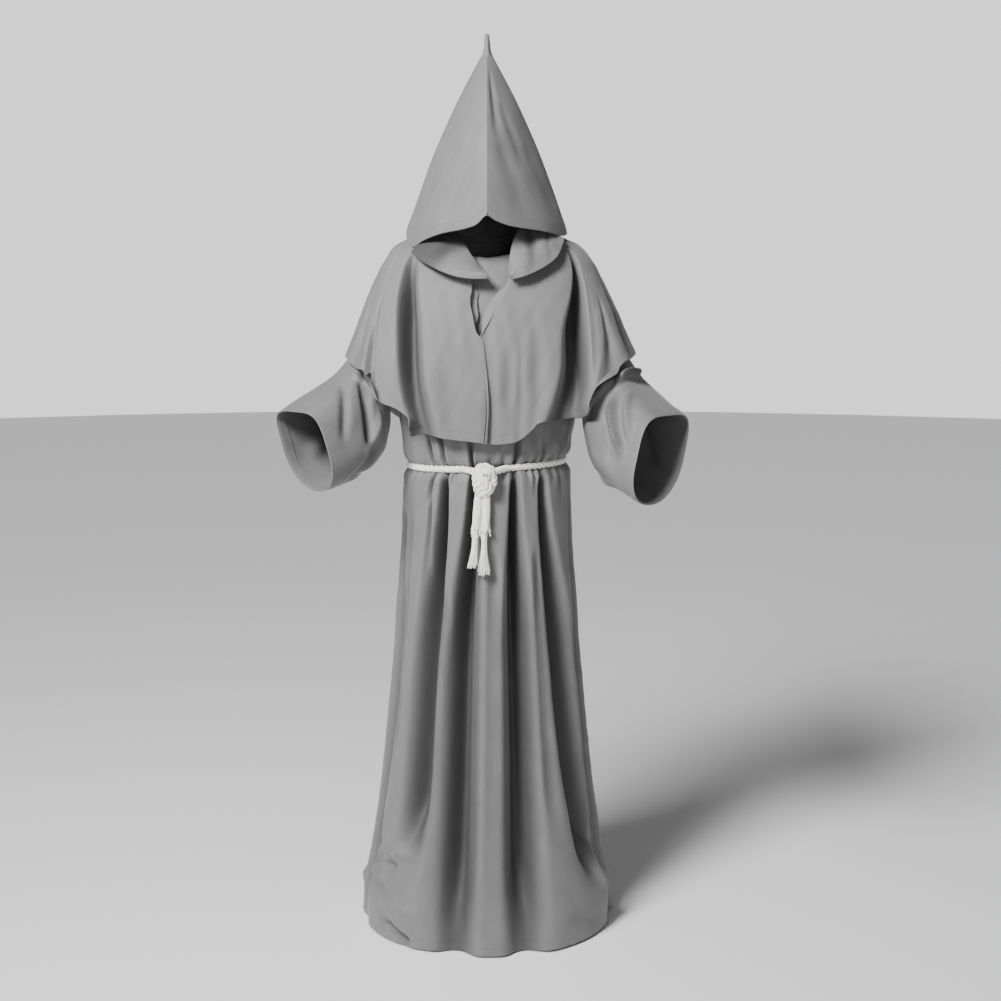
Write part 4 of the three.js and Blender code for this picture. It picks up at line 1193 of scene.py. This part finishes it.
def smooth_path(points, spacing):
    """Points at an even spacing on a smooth curve through the given ones."""
    points = np.asarray(points, dtype=float)
    ends = np.vstack([2 * points[0] - points[1], points, 2 * points[-1] - points[-2]])
    fine = []
    for i in range(len(points) - 1):
        a, b, c, d = ends[i:i + 4]
        t = np.linspace(0, 1, 24, endpoint=False)[:, None]
        fine.append(0.5 * (2 * b + (c - a) * t + (2 * a - 5 * b + 4 * c - d) * t ** 2
                           + (3 * b - a - 3 * c + d) * t ** 3))
    fine = np.vstack([*fine, points[-1:]])
    gone = np.concatenate([[0], np.cumsum(np.linalg.norm(np.diff(fine, axis=0), axis=1))])
    count = max(4, int(round(gone[-1] / spacing)) + 1)
    at = np.linspace(0, gone[-1], count)
    return np.stack([np.interp(at, gone, fine[:, k]) for k in range(3)], axis=1)


def frames_along(path):
    """Two directions square to the path at each of its points, turning as little as they can."""
    ways = unit(np.gradient(path, axis=0))
    first = np.cross(ways[0], (0.3, 0.2, 0.93))
    first = first / np.linalg.norm(first)
    sides = []
    for way in ways:
        first = first - way * np.dot(first, way)
        first = first / np.linalg.norm(first)
        sides.append(first)
    sides = np.array(sides)
    return ways, sides, np.cross(ways, sides)


def tube_parts(path, radius, sides, turn=0.0):
    """Points, faces and map of a closed tube; the radius may change along the path."""
    ways, first, second = frames_along(path)
    radius = np.broadcast_to(radius, len(path))
    angle = np.linspace(0, 2 * np.pi, sides, endpoint=False) + turn
    ring = (first[:, None] * np.cos(angle)[None, :, None] + second[:, None] * np.sin(angle)[None, :, None])
    verts = path[:, None] + ring * radius[:, None, None]
    verts = verts.reshape(-1, 3)
    faces = grid_faces(len(path), sides, True)[:, ::-1].tolist()
    start, end = len(verts), len(verts) + 1
    last = (len(path) - 1) * sides
    for i in range(sides):
        after = (i + 1) % sides
        faces.append([start, i, after])
        faces.append([end, last + after, last + i])
    gone = np.concatenate([[0], np.cumsum(np.linalg.norm(np.diff(path, axis=0), axis=1))])
    around = np.abs(np.linspace(-1, 1, sides, endpoint=False)) * np.pi * radius.mean()
    uvs = np.stack(np.meshgrid(around, gone), axis=-1).reshape(-1, 2)
    verts = np.vstack([verts, path[:1], path[-1:]])
    uvs = np.vstack([uvs, uvs[:1], uvs[-1:]])
    return verts, faces, uvs


def rope_parts(path, diameter, lay, sides=8, loosen=0.0, phase=0.0):
    """Strands of a laid rope round a path: each a tube that winds once in a lay's length."""
    ways, first, second = frames_along(path)
    gone = np.concatenate([[0], np.cumsum(np.linalg.norm(np.diff(path, axis=0), axis=1))])
    share = gone / gone[-1]
    reach = diameter * (0.265 + loosen * share ** 2)
    parts = []
    for strand in range(ROPE_STRANDS):
        angle = 2 * np.pi * (gone / lay + strand / ROPE_STRANDS) + phase
        offset = first * np.cos(angle)[:, None] + second * np.sin(angle)[:, None]
        parts.append(tube_parts(path + offset * reach[:, None] if np.ndim(reach) else path + offset * reach, diameter * 0.262, sides, strand))
    return parts


def rope_object(name, parts, material):
    verts, faces, uvs = [], [], []
    count = 0
    for part_verts, part_faces, part_uvs in parts:
        verts.append(part_verts)
        uvs.append(part_uvs)
        faces += [[i + count for i in face] for face in part_faces]
        count += len(part_verts)
    made = new_rope(name, np.vstack(verts), faces, np.vstack(uvs), material)
    finish_object(made)
    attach(made, "root")
    return made


def new_rope(name, verts, faces, uvs, material):
    mesh = bpy.data.meshes.new(name)
    metres = (verts - (0, 0, SHOULDER_HEIGHT)) / 1000
    mesh.from_pydata(metres.tolist(), [], faces)
    layer = mesh.uv_layers.new(name="cloth")
    corners = np.zeros(len(mesh.loops), dtype=np.int32)
    mesh.loops.foreach_get("vertex_index", corners)
    layer.data.foreach_set("uv", (uvs[corners] / 1000).astype(np.float32).ravel())
    mesh.materials.append(material)
    mesh.update()
    made = bpy.data.objects.new(name, mesh)
    bpy.context.scene.collection.objects.link(made)
    return made


def belt_place(turn):
    angle = np.radians(turn)
    half = read(ROBE_SECTIONS, "height", "half", BELT_HEIGHT)
    front = read(ROBE_SECTIONS, "height", "front", BELT_HEIGHT)
    back = read(ROBE_SECTIONS, "height", "back", BELT_HEIGHT)
    depth = np.where(np.cos(angle) > 0, front, back)
    normal = unit(place(np.sin(angle) / half, -np.cos(angle) / depth, 0))
    height = BELT_HEIGHT + BELT_TILT * np.sin(angle)
    return oval(turn, half, depth, height) + normal * (ROPE_DIAMETER / 2 - ROPE_LIFT)


def knot_place(x, y, height):
    return np.array((KNOT[0] + x, KNOT[1] + y, KNOT[2] + height), dtype=float)


def belt_end(side):
    end = knot_place(side * BELT_END[0], BELT_END[1], BELT_END[2])
    away = belt_place(np.array([side * BELT_END_TURN]))[0] - end
    return end, away / np.linalg.norm(away)


def fringe_parts():
    """Loose ends that come out of the knot, lie over the hanging ropes and end ragged."""
    chance = random.Random(75)
    parts = []
    for row in at_each(FRINGE):
        for i in range(int(row["strands"])):
            angle = 2 * math.pi * i / row["strands"]
            side, front = math.cos(angle), math.sin(angle)
            low = row["low"] + chance.uniform(-5, 12) - 7 * abs(side) - KNOT[2]
            top = FRINGE_TOP - KNOT[2]
            sway = chance.uniform(-0.9, 0.9)
            places = [
                knot_place(row["offset"] + 4 * side, 4 * front, top),
                knot_place(row["offset"] + 7.6 * side, 7.4 * front, top - 12),
                knot_place(row["offset"] + row["lean"] * 0.5 + 7.9 * side + sway, 7.9 * front - 3, mix(top, low, 0.55)),
                knot_place(row["offset"] + row["lean"] + 8.2 * side - sway, 8.2 * front - 5, low + 12),
                knot_place(row["offset"] + row["lean"] + 11.5 * side - sway, 10.5 * front - 6, low),
            ]
            path = smooth_path(places, 5)
            parts.append(tube_parts(path, np.linspace(1.6, 1.1, len(path)), 6, angle))
    return parts


def dress_belt(material):
    turns = np.linspace(BELT_END_TURN, 360 - BELT_END_TURN, 60)
    left, _ = belt_end(1)
    right, _ = belt_end(-1)
    path = smooth_path([left, *belt_place(turns), right], 2.6)
    belt = rope_object("rope_belt", rope_parts(path, ROPE_DIAMETER, 38, 9), material)
    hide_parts("belt")
    parts = []
    for side, rows in ((-1, KNOT_FIRST), (1, KNOT_SECOND)):
        end, away = belt_end(side)
        places = [end, end - away * 13, *[knot_place(*row) for row in rows]]
        parts += rope_parts(smooth_path(places, 2.4), ROPE_DIAMETER + 1, 38, 9, phase=side)
    for rows in KNOT_FILLING:
        places = [knot_place(*row) for row in rows]
        parts += rope_parts(smooth_path(places, 2.4), ROPE_DIAMETER, 38, 9)
    parts += fringe_parts()
    knot = rope_object("rope_knot", parts, material)
    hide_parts("belt_knot")


def dress_tail(side_name, offset, lean, low, flare, drift, seed, material):
    top = TAIL_START - 0.4
    low_end = TAIL_LOW - KNOT[2]
    places = [
        knot_place(offset, 0, top),
        knot_place(offset, 0, top - 6),
        knot_place(offset + lean * 0.5, -4, mix(top, low_end, 0.5)),
        knot_place(offset + lean, -8, low_end + 6),
        knot_place(offset + lean, -8, low_end),
    ]
    path = smooth_path(places, 2.2)
    tail = rope_object(
        "rope_tail_" + side_name, rope_parts(path, TAIL_DIAMETER, 36, 9), material,
    )
    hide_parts("belt_tail_" + side_name)
    chance = random.Random(seed)
    start = path[-1]
    strands = []
    count = 64
    for i in range(count):
        angle = i * 2.399963
        ring = math.sqrt((i + 0.5) / count)
        end = low + chance.uniform(-4, 9)
        reach = flare * ring * chance.uniform(0.8, 1.15)
        sway = chance.uniform(-2.5, 2.5)
        root = start + (5.2 * ring * math.cos(angle), 5.2 * ring * math.sin(angle), 10)
        knee = start + (
            5.4 * ring * math.cos(angle) + sway * 0.3 + drift * 0.3,
            5.4 * ring * math.sin(angle) - 3,
            mix(0, end - start[2], 0.35),
        )
        foot = (
            start[0] + drift + reach * math.cos(angle) + sway,
            start[1] - 8 + reach * 0.6 * math.sin(angle),
            end,
        )
        strand_path = smooth_path([root, knee, foot], 6)
        strands.append(tube_parts(strand_path, np.linspace(1.35, 0.9, len(strand_path)), 5, angle))
    tassel = rope_object("rope_tassel_" + side_name, strands, material)
    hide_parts("tassel_" + side_name)


# Camera, floor and light.

def set_camera():
    data = bpy.data.cameras.new("camera")
    data.sensor_width = 36
    data.lens = FOCAL_PIXELS / PICTURE * data.sensor_width
    data.shift_x = (PICTURE / 2 - AXIS_PIXEL[0]) / PICTURE
    data.shift_y = (AXIS_PIXEL[1] - PICTURE / 2) / PICTURE
    data.dof.use_dof = False
    camera = bpy.data.objects.new("camera", data)
    camera.location = (0, -CAMERA_DISTANCE, CAMERA_HEIGHT - SHOULDER_HEIGHT / 1000)
    camera.rotation_euler = (math.radians(90 - CAMERA_PITCH), 0, 0)
    bpy.context.scene.collection.objects.link(camera)
    bpy.context.scene.camera = camera


def add_light(name, spot, size, power, aim=(0, 0, -0.5)):
    data = bpy.data.lights.new(name, "AREA")
    data.shape = "DISK"
    data.size = size
    data.energy = power
    light = bpy.data.objects.new(name, data)
    light.location = spot
    light.rotation_euler = (Vector(aim) - Vector(spot)).to_track_quat("-Z", "Y").to_euler()
    bpy.context.scene.collection.objects.link(light)


def set_studio():
    bpy.ops.object.select_all(action="DESELECT")
    bpy.ops.mesh.primitive_circle_add(
        vertices=64, radius=14, fill_type="NGON", location=(0, 0, -SHOULDER_HEIGHT / 1000 - 0.001),
    )
    floor = bpy.context.object
    floor.name = "floor"
    material, tree = new_material("studio_paper_white")
    shader = add_node(
        tree, "ShaderNodeBsdfPrincipled", {"Base Color": colour("#fbfbfb"), "Roughness": 0.9},
    )
    add_node(tree, "ShaderNodeOutputMaterial", {}, {"Surface": shader.outputs["BSDF"]})
    floor.data.materials.append(material)
    world = bpy.data.worlds.new("studio")
    world.use_nodes = True
    background = world.node_tree.nodes["Background"]
    background.inputs["Color"].default_value = colour("#ffffff")
    seen = add_node(world.node_tree, "ShaderNodeLightPath", {})
    add_node(
        world.node_tree, "ShaderNodeMapRange", {"To Min": 0.13, "To Max": 1.35},
        {"Value": seen.outputs["Is Camera Ray"]},
    )
    strength = world.node_tree.nodes["Map Range"].outputs["Result"]
    world.node_tree.links.new(strength, background.inputs["Strength"])
    bpy.context.scene.world = world
    sun = bpy.data.lights.new("key", "SUN")
    sun.energy = 2.6
    sun.angle = math.radians(18)
    key = bpy.data.objects.new("key", sun)
    key.rotation_euler = Vector((0.53, 0.62, -0.59)).to_track_quat("-Z", "Y").to_euler()
    bpy.context.scene.collection.objects.link(key)
    add_light("softbox", (-1.2, -1.8, 1.35), 1.0, 118, (0, 0, 0.1))
    add_light("fill", (0.4, -3.2, 0.0), 1.0, 11, (0, 0, 0))


def dress_hood_tail(material):
    """The stub at the tip: both halves of the hood, drawn together and turned in."""
    rings = table(
        "rise radius", (-14, 17), (-6, 13), (0, 10.5), (6, 8.6), (14, 7.2), (26, 6.2), (38, 5.2), (42, 3.8), (44, 0.6),
    )
    rise = np.linspace(-14, 44, 40)
    radius = read(rings, "rise", "radius", rise)
    path = place(np.zeros_like(rise), np.zeros_like(rise), HOOD_TOP + rise)
    verts, faces, uvs = tube_parts(path, radius, 28)
    angle = np.arctan2(verts[:, 1], verts[:, 0])
    pleat = 1 + 0.09 * np.cos(5 * angle + 0.4) * ease((44 - (verts[:, 2] - HOOD_TOP)) / 30)
    verts[:, 0] *= pleat
    verts[:, 1] *= pleat * 1.15
    stub = new_rope("cloth_hood_tail", verts, faces, uvs, material)
    finish_object(stub)
    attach(stub, "root")
    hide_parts("hood_tail")


set_camera()
set_studio()
twill = polyester_twill()
rope = cotton_rope()
dress_tail("left", 3, -4, 831, 13, -1, 71, rope)
dress_tail("right", -13, -7, 846, 10, -7, 72, rope)
dress_belt(rope)
dress_robe(twill)
dress_sleeve("cloth_sleeve_left", SLEEVE_LEFT_RINGS, SLEEVE_LEFT_CREASES, 1, twill)
dress_sleeve("cloth_sleeve_right", SLEEVE_RIGHT_RINGS, SLEEVE_RIGHT_CREASES, -1, twill)
dress_cape(twill)
dress_facing("cloth_facing_left", 1, 20, twill)
dress_facing("cloth_facing_right", -1, 22, twill)
dress_hood("cloth_hood_left", 1, twill)
dress_hood("cloth_hood_right", -1, twill)
dress_hood_tail(twill)
dress_collar("cloth_collar_left", COLLAR_LEFT_LINES, COLLAR_LEFT_CREASES, 1, twill)
dress_collar("cloth_collar_right", COLLAR_RIGHT_LINES, COLLAR_RIGHT_CREASES, -1, twill)
